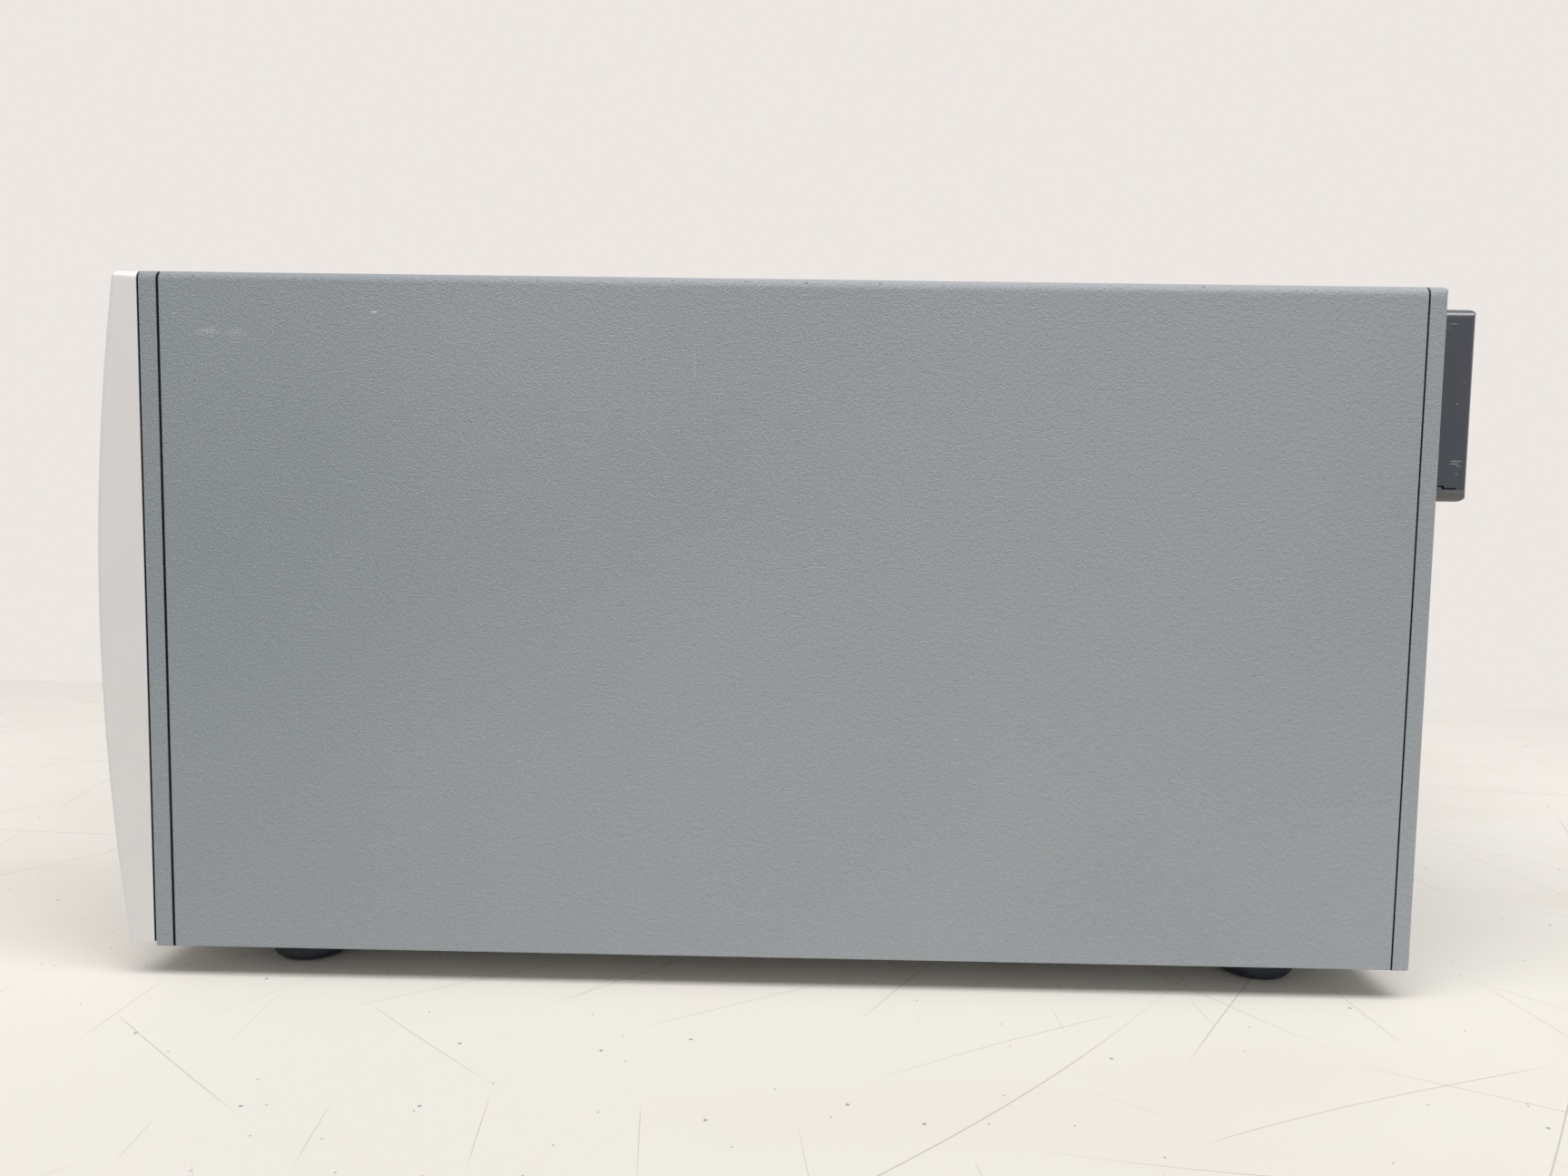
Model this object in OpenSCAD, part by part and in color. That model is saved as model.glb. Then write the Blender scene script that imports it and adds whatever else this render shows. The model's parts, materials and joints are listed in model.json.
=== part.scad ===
// Bench microplate reader: a painted sheet-steel casing with a bowed moulded front, a plate
// carrier on an X-Y transport behind a hinged door, and a filter-based optical bench above it.
// Frame: millimetres, +Z up, the front faces -Y, origin at the centre of the footprint on the bench.

/* [Casing] */
// Width of the casing across its side walls
body_w = 420; // [410:2:450]
// Height of the casing without its feet
body_h = 250; // [246:2:290]
// Depth of the casing from the front frame to the rear panel
body_d = 469; // [464:1:520]
// Thickness of the folded cover sheet
sheet_t = 1.5; // [1:0.25:2]
// Thickness of the front frame, rear panel and base plates
frame_t = 2; // [1.5:0.25:3]
// Outer radius of the long folded edges
bend_r = 3.5; // [2.5:0.5:6]
// Width of the front frame's visible rim
rim_front = 6.2; // [5:0.1:9]
// Width of the rear panel's visible rim
rim_rear = 7; // [5:0.1:9]
// Width of the dark seam in front of the cover
seam_w = 0.85; // [0.6:0.05:1.2]
// Width of the dark seam behind the cover
seam_rear_w = 0.55; // [0.4:0.05:1.2]
// Depth of the locating lips under the cover
lip_l = 12; // [8:1:16]
// Rounding of the rear panel's outer edge
rear_edge_r = 2.9; // [1.5:0.1:3.2]

/* [Front moulding] */
// Distance from the front frame to the crest of the bowed front
fascia_reach = 19; // [16:0.5:24]
// Radius of the bow, seen from the side
fascia_bow_r = 920; // [850:10:1400]
// Height of the crest above the underside of the casing
fascia_crest_z = 124; // [100:5:140]
// Wall of the moulding
fascia_wall = 3; // [2:0.25:3.5]
// Gap from the underside of the casing to the moulding
fascia_lift = 1.5; // [0.5:0.5:3]
// Rounding of the moulding's top edge
fascia_top_r = 4.2; // [2:0.2:5]
// Fall of the moulding's top towards the front, in degrees
fascia_fall = 6; // [0:1:8]
// Rounding of the moulding's bottom edge
fascia_low_r = 2.4; // [1:0.2:4]
// Rounding of the moulding's upright edges
fascia_side_r = 2.6; // [1:0.2:4]
// Thickness of the black foam between moulding and frame
gasket_t = 0.8; // [0.5:0.1:1.2]

/* [Plate door] */
// Clear width of the plate slot
slot_w = 148; // [146:1:154]
// Clear height of the plate slot
slot_h = 32; // [30:1:34]
// Thickness of the door
door_t = 3; // [2:0.25:3.5]
// Radius of the door's hinge barrel
barrel_r = 4; // [3.5:0.25:4.5]
// Radius of the hinge pin
hinge_pin_r = 1.5; // [1:0.25:2]

/* [Plate transport] */
// Length of a standard microplate along X
plate_l = 127.76; // [127.5:0.01:128]
// Width of a standard microplate along Y
plate_w = 85.48; // [85.2:0.01:85.7]
// Spacing of the wells
well_pitch = 9; // [8.5:0.25:9]
// Width of the carrier tray
tray_w = 142; // [138:1:143]
// Length of the carrier tray
tray_l = 100; // [96:1:104]
// Height of the carrier tray
tray_h = 10; // [8:0.5:12]
// Depth of the parked tray's centre behind the front frame
park_y = 244; // [236:1:246]
// Radius of the cross rails
x_rail_r = 5; // [4:0.5:6]
// Radius of the plate rails
y_rail_r = 4; // [3:0.5:5]
// Number of teeth on a belt pulley
pulley_teeth = 20; // [16:1:22]
// Height of the lower deck above the underside of the casing
deck_rise = 28; // [27:1:32]
// Thickness of both decks
deck_t = 6; // [5:0.5:8]

/* [Optics] */
// Height of the upper deck above the lower deck
upper_rise = 74; // [72:1:80]
// Height of the light path above the upper deck
beam_h = 52; // [50:1:56]
// Radius of a filter wheel
wheel_r = 42; // [38:1:44]
// Number of filters on a wheel
filters = 8; // [6:1:8]
// Radius of a filter
filter_r = 6.4; // [5:0.2:7]

/* [Rear] */
// Frame size of the square fan
fan_s = 60; // [56:1:62]
// Thickness of the fan
fan_t = 25; // [20:1:30]
// Outer size of the square filter hood
hood_s = 71; // [70:1:74]
// Distance that the filter hood stands out from the rear panel
hood_reach = 18.3; // [14:0.1:24]
// Corner radius of the filter hood
hood_r = 4.5; // [3:0.5:6]
// Rounding of the filter hood's outer edges
hood_edge_r = 2.2; // [1:0.2:4]
// Gap from the casing's side to the filter hood
hood_inset_x = 15; // [13:1:40]
// Gap from the casing's top to the filter hood
hood_inset_z = 5.2; // [4.2:0.5:30]

/* [Feet] */
// Height of a foot
foot_h = 12; // [10:1:20]
// Radius of a foot at its top
foot_r = 15; // [12:1:18]
// Distance of a foot's centre from the casing's side
foot_inset_x = 30; // [24:1:50]
// Distance of a foot's centre from the nearer end of the casing
foot_inset_y = 47; // [40:1:70]

/* [Hidden] */
$fn = 64;

// Colours
paint_grey = [0.53, 0.55, 0.56];
silver = [0.80, 0.80, 0.79];
black = [0.08, 0.08, 0.09];
plastic_black = [0.15, 0.15, 0.17];
rubber = [0.09, 0.10, 0.12];
steel = [0.70, 0.71, 0.73];
alloy = [0.78, 0.79, 0.80];
brass = [0.80, 0.65, 0.32];
board_green = [0.10, 0.35, 0.20];
glass_tint = [0.60, 0.75, 0.85];

// Clearances
slide_gap = 0.3;   // between pieces that are dropped or slid together
run_gap = 0.06;    // radial gap of a shaft or rail in its bush
screw_gap = 0.2;   // radial gap of a screw in its hole
belt_gap = 0.15;   // between a belt and its pulley
cut = 1;           // how far a cutter runs past a face

// Casing stations
z_bot = foot_h;
z_top = foot_h + body_h;
overall_d = fascia_reach + body_d + hood_reach;
y_front = fascia_reach - overall_d / 2;
y_rear = y_front + body_d;
x_side = body_w / 2;
frame_in = y_front + frame_t;
panel_in = y_rear - frame_t;
lip_inset = sheet_t + slide_gap;
lip_t = 2;
lip_w = body_w - 2 * lip_inset;
lip_h = body_h - lip_inset;
cover_y0 = y_front + rim_front + seam_w;
cover_y1 = y_rear - rim_rear - seam_rear_w;
lip_y0 = y_front + rim_front + lip_l;
lip_y1 = y_rear - rim_rear - lip_l;

// Casing fixings
m4_r = 2;
m3_r = 1.5;
tie_inset = 9.2;
tie_r = 4;
tie_x = x_side - tie_inset;
tie_z = z_top - tie_inset;
tab_inset = 30;
tab_x = x_side - tab_inset;
tab_w = 24;
tab_h = 18;
tab_screw_rise = 12;
tab_screw_z = z_bot + tab_screw_rise;
tab_t = 5;
pan_w = lip_w - 2 * lip_t - 2 * slide_gap;
pan_flange_h = 25;

// Transport stations
tray_wall_y = (tray_l - plate_w) / 2;
bar_half = 11;
bar_h = 22;
bar_w = 190;
stop_gap = 1;
cols_travel = 11 * well_pitch;
rows_travel = 7 * well_pitch;
slot_x = -cols_travel / 2;
tray_y = y_front + park_y;
optic_y = tray_y - rows_travel / 2;
frame_room = 4;
tray_engage = 4;
front_rail_y = frame_in + bar_half + frame_room;
tray_rear_out = y_front - fascia_reach + tray_engage;
block_front_out = front_rail_y + bar_half + stop_gap;
neck_l = block_front_out - tray_rear_out;
block_l = 30;
carrier_rear = tray_y + tray_l / 2 + neck_l + block_l;
rear_rail_y = carrier_rear + 2 * stop_gap + bar_half;
travel_y = tray_y + tray_l / 2 - tray_rear_out;

deck_z = z_bot + deck_rise;
deck_top = deck_z + deck_t;
deck_side_room = 8.2;
deck_w = lip_w - 2 * frame_t - 2 * deck_side_room;
deck_y0 = frame_in + frame_room;
belt_w = 6;
belt_t = 1.4;
pulley_r = pulley_teeth * 2.5 / (2 * PI);
pulley_w = 8;
flange_r = pulley_r + 1.5;
belt_room = 1.5;
stud_room = 2;
x_belt_y = rear_rail_y + bar_half + belt_room + pulley_w / 2;
motor_plate_t = 3;
motor_plate_y = x_belt_y + pulley_w / 2 + stud_room;
deck_y1 = motor_plate_y + motor_plate_t;
x_rail_rise = 14;
x_rail_z = deck_top + x_rail_rise;
block_half = 8;
rail_end_room = 9.5;
x_rail_half = (bar_w + cols_travel) / 2 + rail_end_room + 2 * block_half;
bar_room = 3;
bar_z = deck_top + bar_room;
bar_top = bar_z + bar_h;
rail_offset = 9;
rail_spread = tray_w / 2 + rail_offset;
y_rail_rise = 6;
y_rail_z = bar_top + y_rail_rise;
tray_rise = 2;
tray_z = bar_top + tray_rise;
tray_floor = 3;
plate_seat_z = tray_z + tray_floor;
slot_z = tray_z - tray_rise + slot_h / 2;
pulley_inset = 20;
x_pulley_x = x_rail_half - pulley_inset;
y_belt_rise = 20;
y_belt_z = y_rail_z + y_belt_rise;
y_belt_x = slot_x - rail_spread;

// Door stations
crest_z = z_bot + fascia_crest_z;
bow_y = y_front - fascia_reach + fascia_bow_r;
door_gap = 0.5;
tunnel_t = 2.5;
ear_t = 6;
door_side_lap = 4.5;
door_low_lap = 3.4;
door_w = slot_w + 2 * door_side_lap;
door_low = slot_z - slot_h / 2 - door_low_lap;
hinge_z = slot_z + slot_h / 2 + tunnel_t + barrel_r + 2 * door_gap;
hinge_y = bow_front(hinge_z) + barrel_r;
seal_t = 1.6;
tunnel_front = bow_front(door_low) + door_t + slide_gap + seal_t;

// Front controls
control_inset = 60;
button_x = x_side - control_inset;
button_z = slot_z;
button_r = 8;
button_collar = 1.4;
button_travel = 1;
light_rise = 22;
light_z = button_z + light_rise;
light_r = 2.5;
light_collar = 1.2;
board_post_l = 4.4;
board_t = 1.6;
board_y = y_front - board_post_l - board_t;

// Fan stations
hood_x = x_side - hood_inset_x - hood_s / 2;
hood_z = z_top - hood_inset_z - hood_s / 2;
fan_pitch = fan_s * 5 / 6;
fan_bore = fan_s / 2 - 1.5;
hood_wall = 2;

// Rear connectors
inlet_inset = 60;
inlet_rise = 46;
pillar_h = 6;
inlet_x = inlet_inset - x_side;
inlet_z = z_bot + inlet_rise;
board_z = z_bot + frame_t + pillar_h;
board_top = board_z + board_t;
board_inset = 50;
board_gap = 2;
board_w = 140;
board_l = 112;
board_x0 = x_side - board_inset - board_w;
board_y0 = panel_in - board_gap - board_l;
usb_x = board_x0 + 40;
serial_x = board_x0 + 85;

// Optics stations
upper_z = deck_top + upper_rise;
upper_top = upper_z + deck_t;
beam_z = upper_top + beam_h;
wheel_x = 84;
wheel_t = 8;
wheel_rim = 4;
filter_pitch_r = wheel_r - filter_r - wheel_rim;
wheel_y = optic_y + filter_pitch_r;
cube_s = 56;

// Y of the bowed front at height z
function bow_front(z) = bow_y - sqrt(fascia_bow_r * fascia_bow_r - (z - crest_z) * (z - crest_z));

// ---------- helpers ----------
// Box between two corners
module block(lo, hi) translate(lo) cube(hi - lo);

// Box about a centre
module mid_block(centre, size) translate(centre - size / 2) cube(size);

// Round bars along each axis
module bar_x(r, x0, x1, y, z) translate([x0, y, z]) rotate([0, 90, 0]) cylinder(r = r, h = x1 - x0);
module bar_y(r, y0, y1, x, z) translate([x, y0, z]) rotate([-90, 0, 0]) cylinder(r = r, h = y1 - y0);
module bar_z(r, z0, z1, x, y) translate([x, y, z0]) cylinder(r = r, h = z1 - z0);

// A drawing in X-Z, extruded along Y
module along_y(y0, y1) translate([0, y1, 0]) rotate([90, 0, 0]) linear_extrude(y1 - y0) children();

// A drawing in Y-Z, extruded along X
module along_x(x0, x1) translate([x0, 0, 0]) rotate([90, 0, 90]) linear_extrude(x1 - x0) children();

// Rectangle about its centre with round corners
module round_rect(w, h, r) {
    square([w - 2 * r, h], center = true);
    square([w, h - 2 * r], center = true);
    for (sx = [-1, 1], sy = [-1, 1]) translate([sx * (w / 2 - r), sy * (h / 2 - r)]) circle(r);
}

// Casing outline: flat below, round at the two upper corners
module arch(w, h, r) {
    translate([-w / 2, 0]) square([w, h - r]);
    translate([-w / 2 + r, 0]) square([w - 2 * r, h]);
    for (s = [-1, 1]) translate([s * (w / 2 - r), h - r]) circle(r);
}

// Arch-shaped sheet from y0 to y1, open below
module arch_shell(w, h, r, wall, y0, y1) {
    difference() {
        along_y(y0, y1) translate([0, z_bot]) arch(w, h, r);
        along_y(y0 - cut, y1 + cut) translate([0, z_bot - cut])
            arch(w - 2 * wall, h - wall + cut, max(r - wall, 0.5));
    }
}

// Pan-head screw along +Y: the head's seat is at y0
module screw_y(x, y0, z, r, l) {
    bar_y(r, y0, y0 + l, x, z);
    difference() {
        bar_y(2 * r, y0 - 1.2 * r, y0, x, z);
        bar_y(0.8 * r, y0 - 1.2 * r - cut, y0 - 0.6 * r, x, z, $fn = 6);
    }
}

// Countersunk hole or screw head along +Y from the face at y0, grown by a gap all round
csk_h = 1.8;
module countersink(x, y0, z, r, gap) translate([x, y0, z]) rotate([-90, 0, 0])
    cylinder(r1 = r + csk_h + gap, r2 = r + gap, h = csk_h);

// Countersunk screw along +Y, its face just below the face at y0
module flat_screw_y(x, y0, z, r, l) {
    sink = 0.1;
    difference() {
        union() {
            countersink(x, y0 + sink, z, r, 0);
            bar_y(r, y0 + sink, y0 + l, x, z);
        }
        bar_y(0.8 * r, y0 - cut, y0 + csk_h / 2, x, z, $fn = 6);
    }
}

// ---------- casing ----------
tie_places = [for (s = [-1, 1]) [s * tie_x, tie_z]];
tab_places = [for (s = [-1, 1]) [s * tab_x, tab_screw_z]];
fascia_boss_x = x_side - 20;
fascia_boss_zs = [z_bot + 27, z_top - 25];

module front_frame() {
    color(paint_grey) difference() {
        union() {
            along_y(y_front, y_front + rim_front) translate([0, z_bot]) arch(body_w, body_h, bend_r);
            along_y(y_front + rim_front, lip_y0) translate([0, z_bot])
                arch(lip_w, lip_h, max(bend_r - lip_inset, 0.5));
        }
        along_y(frame_in, lip_y0 + cut) translate([0, z_bot - cut])
            arch(lip_w - 2 * lip_t, lip_h - lip_t + cut, 0.5);
        along_y(y_front - cut, frame_in + cut) translate([slot_x, slot_z]) round_rect(slot_w, slot_h, 3);
        for (p = concat(tie_places, tab_places)) {
            bar_y(m4_r + screw_gap, y_front - cut, frame_in + cut, p[0], p[1]);
            countersink(p[0], y_front, p[1], m4_r, screw_gap);
        }
        for (s = [-1, 1], z = fascia_boss_zs)
            bar_y(m3_r + screw_gap, y_front - cut, frame_in + cut, s * fascia_boss_x, z);
    }
}

// Solid outline of the rear panel, with a rounded rear edge on its top and sides
module rear_outline() {
    r = rear_edge_r;
    deep = 20;
    intersection() {
        along_y(y_rear - rim_rear, y_rear) translate([0, z_bot]) arch(body_w, body_h, bend_r);
        along_x(-x_side, x_side) translate([y_rear - deep, z_bot - deep]) {
            square([deep, body_h + deep - r]);
            square([deep - r, body_h + deep]);
            translate([deep - r, body_h + deep - r]) circle(r);
        }
        translate([0, y_rear - deep, z_bot]) linear_extrude(body_h) round_rect(body_w, 2 * deep, r);
    }
}

module rear_panel() {
    color(paint_grey) difference() {
        union() {
            rear_outline();
            along_y(lip_y1, y_rear - rim_rear) translate([0, z_bot])
                arch(lip_w, lip_h, max(bend_r - lip_inset, 0.5));
        }
        along_y(lip_y1 - cut, panel_in) translate([0, z_bot - cut])
            arch(lip_w - 2 * lip_t, lip_h - lip_t + cut, 0.5);
        bar_y(fan_bore, panel_in - cut, y_rear + cut, hood_x, hood_z);
        for (p = fan_screw_places()) bar_y(m3_r + screw_gap, panel_in - cut, y_rear + cut, p[0], p[1]);
        for (p = concat(tie_places, tab_places)) {
            bar_y(m4_r + screw_gap, panel_in - cut, y_rear + cut, p[0], p[1]);
            translate([0, 2 * y_rear, 0]) mirror([0, 1, 0]) countersink(p[0], y_rear, p[1], m4_r, screw_gap);
        }
        mid_block([inlet_x, y_rear, inlet_z],
            [inlet_body_w + slide_gap, 4 * frame_t, inlet_body_h + slide_gap]);
        mid_block([usb_x, y_rear, usb_z], [usb_w + 1, 4 * frame_t, usb_h + 1]);
        mid_block([serial_x, y_rear, serial_z], [serial_w + 1, 4 * frame_t, serial_h + 1]);
    }
}

vent_slots = 9;
vent_pitch = 9;

module base_pan() {
    z1 = z_bot + frame_t;
    vent_y = [y_front + 75, y_rear - 115];
    color(steel) difference() {
        union() {
            block([-pan_w / 2, frame_in, z_bot], [pan_w / 2, panel_in, z1]);
            block([-lip_w / 2, lip_y0 + slide_gap, z_bot], [lip_w / 2, lip_y1 - slide_gap, z1]);
            for (s = [-1, 1]) {
                mid_block([s * (lip_w - frame_t) / 2, (lip_y0 + lip_y1) / 2, z_bot + pan_flange_h / 2],
                    [frame_t, lip_y1 - lip_y0 - 2 * slide_gap, pan_flange_h]);
                for (y = [frame_in + tab_t / 2, panel_in - tab_t / 2])
                    mid_block([s * tab_x, y, z_bot + tab_h / 2], [tab_w, tab_t, tab_h]);
            }
        }
        for (p = tab_places) bar_y(m4_r + 0.05, frame_in - cut, panel_in + cut, p[0], p[1]);
        for (p = foot_places) bar_z(m4_r + screw_gap, z_bot - cut, z1 + cut, p[0], p[1]);
        for (x = [-95, 95], y = vent_y, i = [0 : vent_slots - 1])
            mid_block([x + (i - (vent_slots - 1) / 2) * vent_pitch, y, z_bot], [4, 50, 4 * frame_t]);
    }
}

module top_cover() {
    color(paint_grey) arch_shell(body_w, body_h, bend_r, sheet_t, cover_y0, cover_y1);
}

// Black foam in the seams at both ends of the cover, a little below the painted faces
module cover_seals() {
    sink = 0.35;
    color(black) difference() {
        for (y = [[y_front + rim_front, cover_y0], [cover_y1, y_rear - rim_rear]])
            along_y(y[0], y[1]) translate([0, z_bot])
                arch(body_w - 2 * sink, body_h - sink, max(bend_r - sink, 0.5));
        along_y(y_front, y_rear) translate([0, z_bot - cut])
            arch(lip_w, lip_h + cut, max(bend_r - lip_inset, 0.5));
    }
}

module tie_rods() {
    color(steel) for (p = tie_places) difference() {
        bar_y(tie_r, frame_in, panel_in, p[0], p[1]);
        for (y = [frame_in - cut, panel_in - 12]) bar_y(m4_r + 0.05, y, y + 12 + cut, p[0], p[1]);
    }
}

module casing_screws() {
    color(black) for (p = concat(tie_places, tab_places)) {
        flat_screw_y(p[0], y_front, p[1], m4_r, frame_t + 4);
        translate([0, 2 * y_rear, 0]) mirror([0, 1, 0])
            flat_screw_y(p[0], y_rear, p[1], m4_r, frame_t + 4);
    }
}

module fascia_screws() {
    color(steel) for (s = [-1, 1], z = fascia_boss_zs)
        translate([0, 2 * frame_in, 0]) mirror([0, 1, 0])
            screw_y(s * fascia_boss_x, frame_in, z, m3_r, frame_t + 6);
}

// ---------- bowed front moulding ----------
// Turns a drawing, radius by width, through the arc of the bow
module bow() {
    half = asin(body_h / fascia_bow_r);
    translate([0, bow_y, crest_z]) rotate([0, 90, 0]) rotate([0, 0, 270 - half])
        rotate_extrude(angle = 2 * half, $fn = 720) children();
}

// Bowed slab: the bow turned about its axis, with round upright edges, then trimmed above and below.
// Its top falls towards the front, and its long top edges are rounded like the cover's bends.
// inset moves every face inwards.
module bowed_slab(inset) {
    r_out = fascia_bow_r - inset;
    w = body_w - 2 * inset;
    low = z_bot + fascia_lift + inset;
    high = z_top - inset;
    deep = fascia_reach + 8;
    side_r = max(fascia_side_r - inset, 0.4);
    top_r = max(fascia_top_r - inset, 0.4);
    low_r = max(fascia_low_r - inset, 0.4);
    low_y = bow_front(low) + inset;
    round_y = bow_front(high) + inset + top_r;
    touch_y = round_y - top_r * sin(fascia_fall);
    touch_z = high - (y_front - touch_y) * tan(fascia_fall);
    round_z = touch_z - top_r * cos(fascia_fall);
    intersection() {
        along_y(y_front - 2 * fascia_reach, y_front + fascia_reach) translate([0, low])
            arch(w, high - low, max(bend_r - inset, 0.5));
        bow() {
            translate([r_out - deep, -w / 2]) square([deep - side_r, w]);
            translate([r_out - deep, -w / 2 + side_r]) square([deep, w - 2 * side_r]);
            for (s = [-1, 1]) translate([r_out - side_r, s * (w / 2 - side_r)]) circle(side_r);
        }
        along_x(-x_side, x_side) {
            translate([y_front - fascia_reach - cut, low + low_r])
                square([fascia_reach + 2 * cut, round_z - low - low_r]);
            polygon([[touch_y, touch_z], [y_front, high], [y_front + fascia_reach, high],
                [y_front + fascia_reach, low], [round_y, low], [round_y, round_z]]);
            translate([low_y + low_r, low]) square([fascia_reach, round_z - low]);
            translate([round_y, round_z]) circle(top_r);
            translate([low_y + low_r, low + low_r]) circle(low_r);
        }
    }
}

// Plate tunnel between door and frame
module tunnel(wall, y0, y1)
    along_y(y0, y1) translate([slot_x, slot_z]) round_rect(slot_w + 2 * wall, slot_h + 2 * wall, 3);

// Recess that takes the closed door and its hinge barrel, grown by a wall
module door_recess(wall) {
    side = door_w / 2 + door_gap + wall;
    low = door_low - door_gap - wall;
    high = hinge_z + barrel_r + 2 * door_gap + wall;
    pocket_low = slot_z + slot_h / 2 + tunnel_t - wall;
    block([slot_x - side, y_front - 2 * fascia_reach, low], [slot_x + side, tunnel_front + wall, high]);
    block([slot_x - side, y_front - 2 * fascia_reach, pocket_low],
        [slot_x + side, hinge_y + barrel_r + 2 * door_gap + wall, high]);
}

module front_fascia() {
    y_back = y_front - gasket_t;
    color(silver) difference() {
        union() {
            difference() {
                bowed_slab(0);
                bowed_slab(fascia_wall);
                block([-x_side, y_back, 0], [x_side, y_front + 20, z_top + cut]);
            }
            intersection() {
                bowed_slab(fascia_wall / 2);
                union() {
                    for (s = [-1, 1], z = fascia_boss_zs)
                        bar_y(4.5, y_front - fascia_reach, y_front, s * fascia_boss_x, z);
                    for (s = [-1, 1]) mid_block(
                        [slot_x + s * (door_w / 2 + door_gap + ear_t / 2), hinge_y, hinge_z],
                        [ear_t, 3 * barrel_r, 2 * barrel_r + 2]);
                    door_recess(tunnel_t);
                    tunnel(tunnel_t, tunnel_front, y_front);
                }
            }
        }
        tunnel(0, y_front - 2 * fascia_reach, y_front + cut);
        door_recess(0);
        bar_x(hinge_pin_r + 0.02, slot_x - door_w / 2 - ear_t + 1, slot_x + door_w / 2 + ear_t - 1,
            hinge_y, hinge_z);
        for (s = [-1, 1], z = fascia_boss_zs)
            bar_y(m3_r + 0.05, y_front - 6, y_front + cut, s * fascia_boss_x, z);
        bar_y(button_r + 0.25, y_front - 2 * fascia_reach, y_front - 4, button_x, button_z);
        bar_y(light_r + 0.1, y_front - 2 * fascia_reach, y_front - 4, button_x, light_z);
    }
}

module fascia_gasket() {
    sink = 0.4;
    wide = 2;
    h = body_h - fascia_lift;
    color(black) along_y(y_front - gasket_t, y_front) translate([0, z_bot + fascia_lift]) difference() {
        translate([0, sink]) arch(body_w - 2 * sink, h - 2 * sink, bend_r);
        translate([0, sink + wide])
            arch(body_w - 2 * (sink + wide), h - 2 * (sink + wide), max(bend_r - wide, 0.5));
    }
}

// ---------- plate door ----------
module plate_door() {
    color(silver) difference() {
        union() {
            intersection() {
                mid_block([slot_x, y_front - fascia_reach, (door_low + hinge_z) / 2],
                    [door_w, 4 * fascia_reach, hinge_z - door_low]);
                bow() translate([fascia_bow_r - door_t, -x_side]) square([door_t, body_w]);
            }
            bar_x(barrel_r, slot_x - door_w / 2, slot_x + door_w / 2, hinge_y, hinge_z);
        }
        bar_x(hinge_pin_r + run_gap, slot_x - door_w / 2 - cut, slot_x + door_w / 2 + cut, hinge_y, hinge_z);
    }
}

module door_hinge_pin() {
    color(steel) bar_x(hinge_pin_r, slot_x - door_w / 2 - ear_t + 1.2, slot_x + door_w / 2 + ear_t - 1.2,
        hinge_y, hinge_z);
}

module door_seal() {
    color(black) along_y(tunnel_front - seal_t, tunnel_front) translate([slot_x, slot_z]) difference() {
        round_rect(slot_w + 2 * tunnel_t - 0.4, slot_h + 2 * tunnel_t - 0.4, 3);
        round_rect(slot_w, slot_h, 3);
    }
}

// ---------- front controls ----------
switch_h = 3.6;

// Round cap that stands proud of the moulding, with a collar behind the wall and a stem to its switch
module load_button() {
    proud = 1.2;
    stem_r = 2;
    collar_t = 1.2;
    collar_y = bow_front(button_z - button_r - button_collar) + fascia_wall + slide_gap;
    color(plastic_black) {
        bar_y(button_r, bow_front(button_z) - proud, collar_y, button_x, button_z);
        bar_y(button_r + button_collar, collar_y, collar_y + collar_t, button_x, button_z);
        bar_y(stem_r, collar_y + collar_t, board_y - switch_h - button_travel - 0.2, button_x, button_z);
    }
}

module status_light_pipe() {
    proud = 0.4;
    collar_t = 1.5;
    collar_y = bow_front(light_z - light_r - light_collar) + fascia_wall + slide_gap / 3;
    color(glass_tint) {
        bar_y(light_r, bow_front(light_z) - proud, board_y - 0.1, button_x, light_z);
        bar_y(light_r + light_collar, collar_y, collar_y + collar_t, button_x, light_z);
    }
}

// Small board with the switch, on four posts that stand on the front frame
module front_board() {
    w = 32;
    h = 48;
    post_r = 2.5;
    post_inset = 4;
    switch_s = 6;
    socket = [14, 2.4, 6];
    mid_z = (button_z + light_z) / 2;
    color(board_green) union() {
        mid_block([button_x, board_y + board_t / 2, mid_z], [w, board_t, h]);
        mid_block([button_x, board_y - switch_h / 2, button_z], [switch_s, switch_h, switch_s]);
        for (sx = [-1, 1], sz = [-1, 1])
            bar_y(post_r, board_y + board_t, y_front, button_x + sx * (w / 2 - post_inset),
                mid_z + sz * (h / 2 - post_inset));
        mid_block([button_x, board_y + board_t + socket[1] / 2, mid_z], socket);
    }
}

// ---------- feet ----------
foot_places = [for (sy = [-1, 1], sx = [-1, 1])
    [sx * (x_side - foot_inset_x), sy < 0 ? y_front + foot_inset_y : y_rear - foot_inset_y]];

foot_round = 4.5;
foot_recess_r = 5;
foot_recess_h = 5;

// Rubber disc with a rounded lower edge and a recess for its screw
module foot(i) {
    color(rubber) translate([foot_places[i][0], foot_places[i][1], 0]) difference() {
        rotate_extrude() {
            square([foot_r - foot_round, foot_h]);
            translate([0, foot_round]) square([foot_r, foot_h - foot_round]);
            translate([foot_r - foot_round, foot_round]) circle(foot_round);
        }
        translate([0, 0, -cut]) cylinder(r = foot_recess_r, h = foot_recess_h + cut);
        translate([0, 0, -cut]) cylinder(r = m4_r + screw_gap, h = foot_h + 2 * cut);
    }
}

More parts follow.
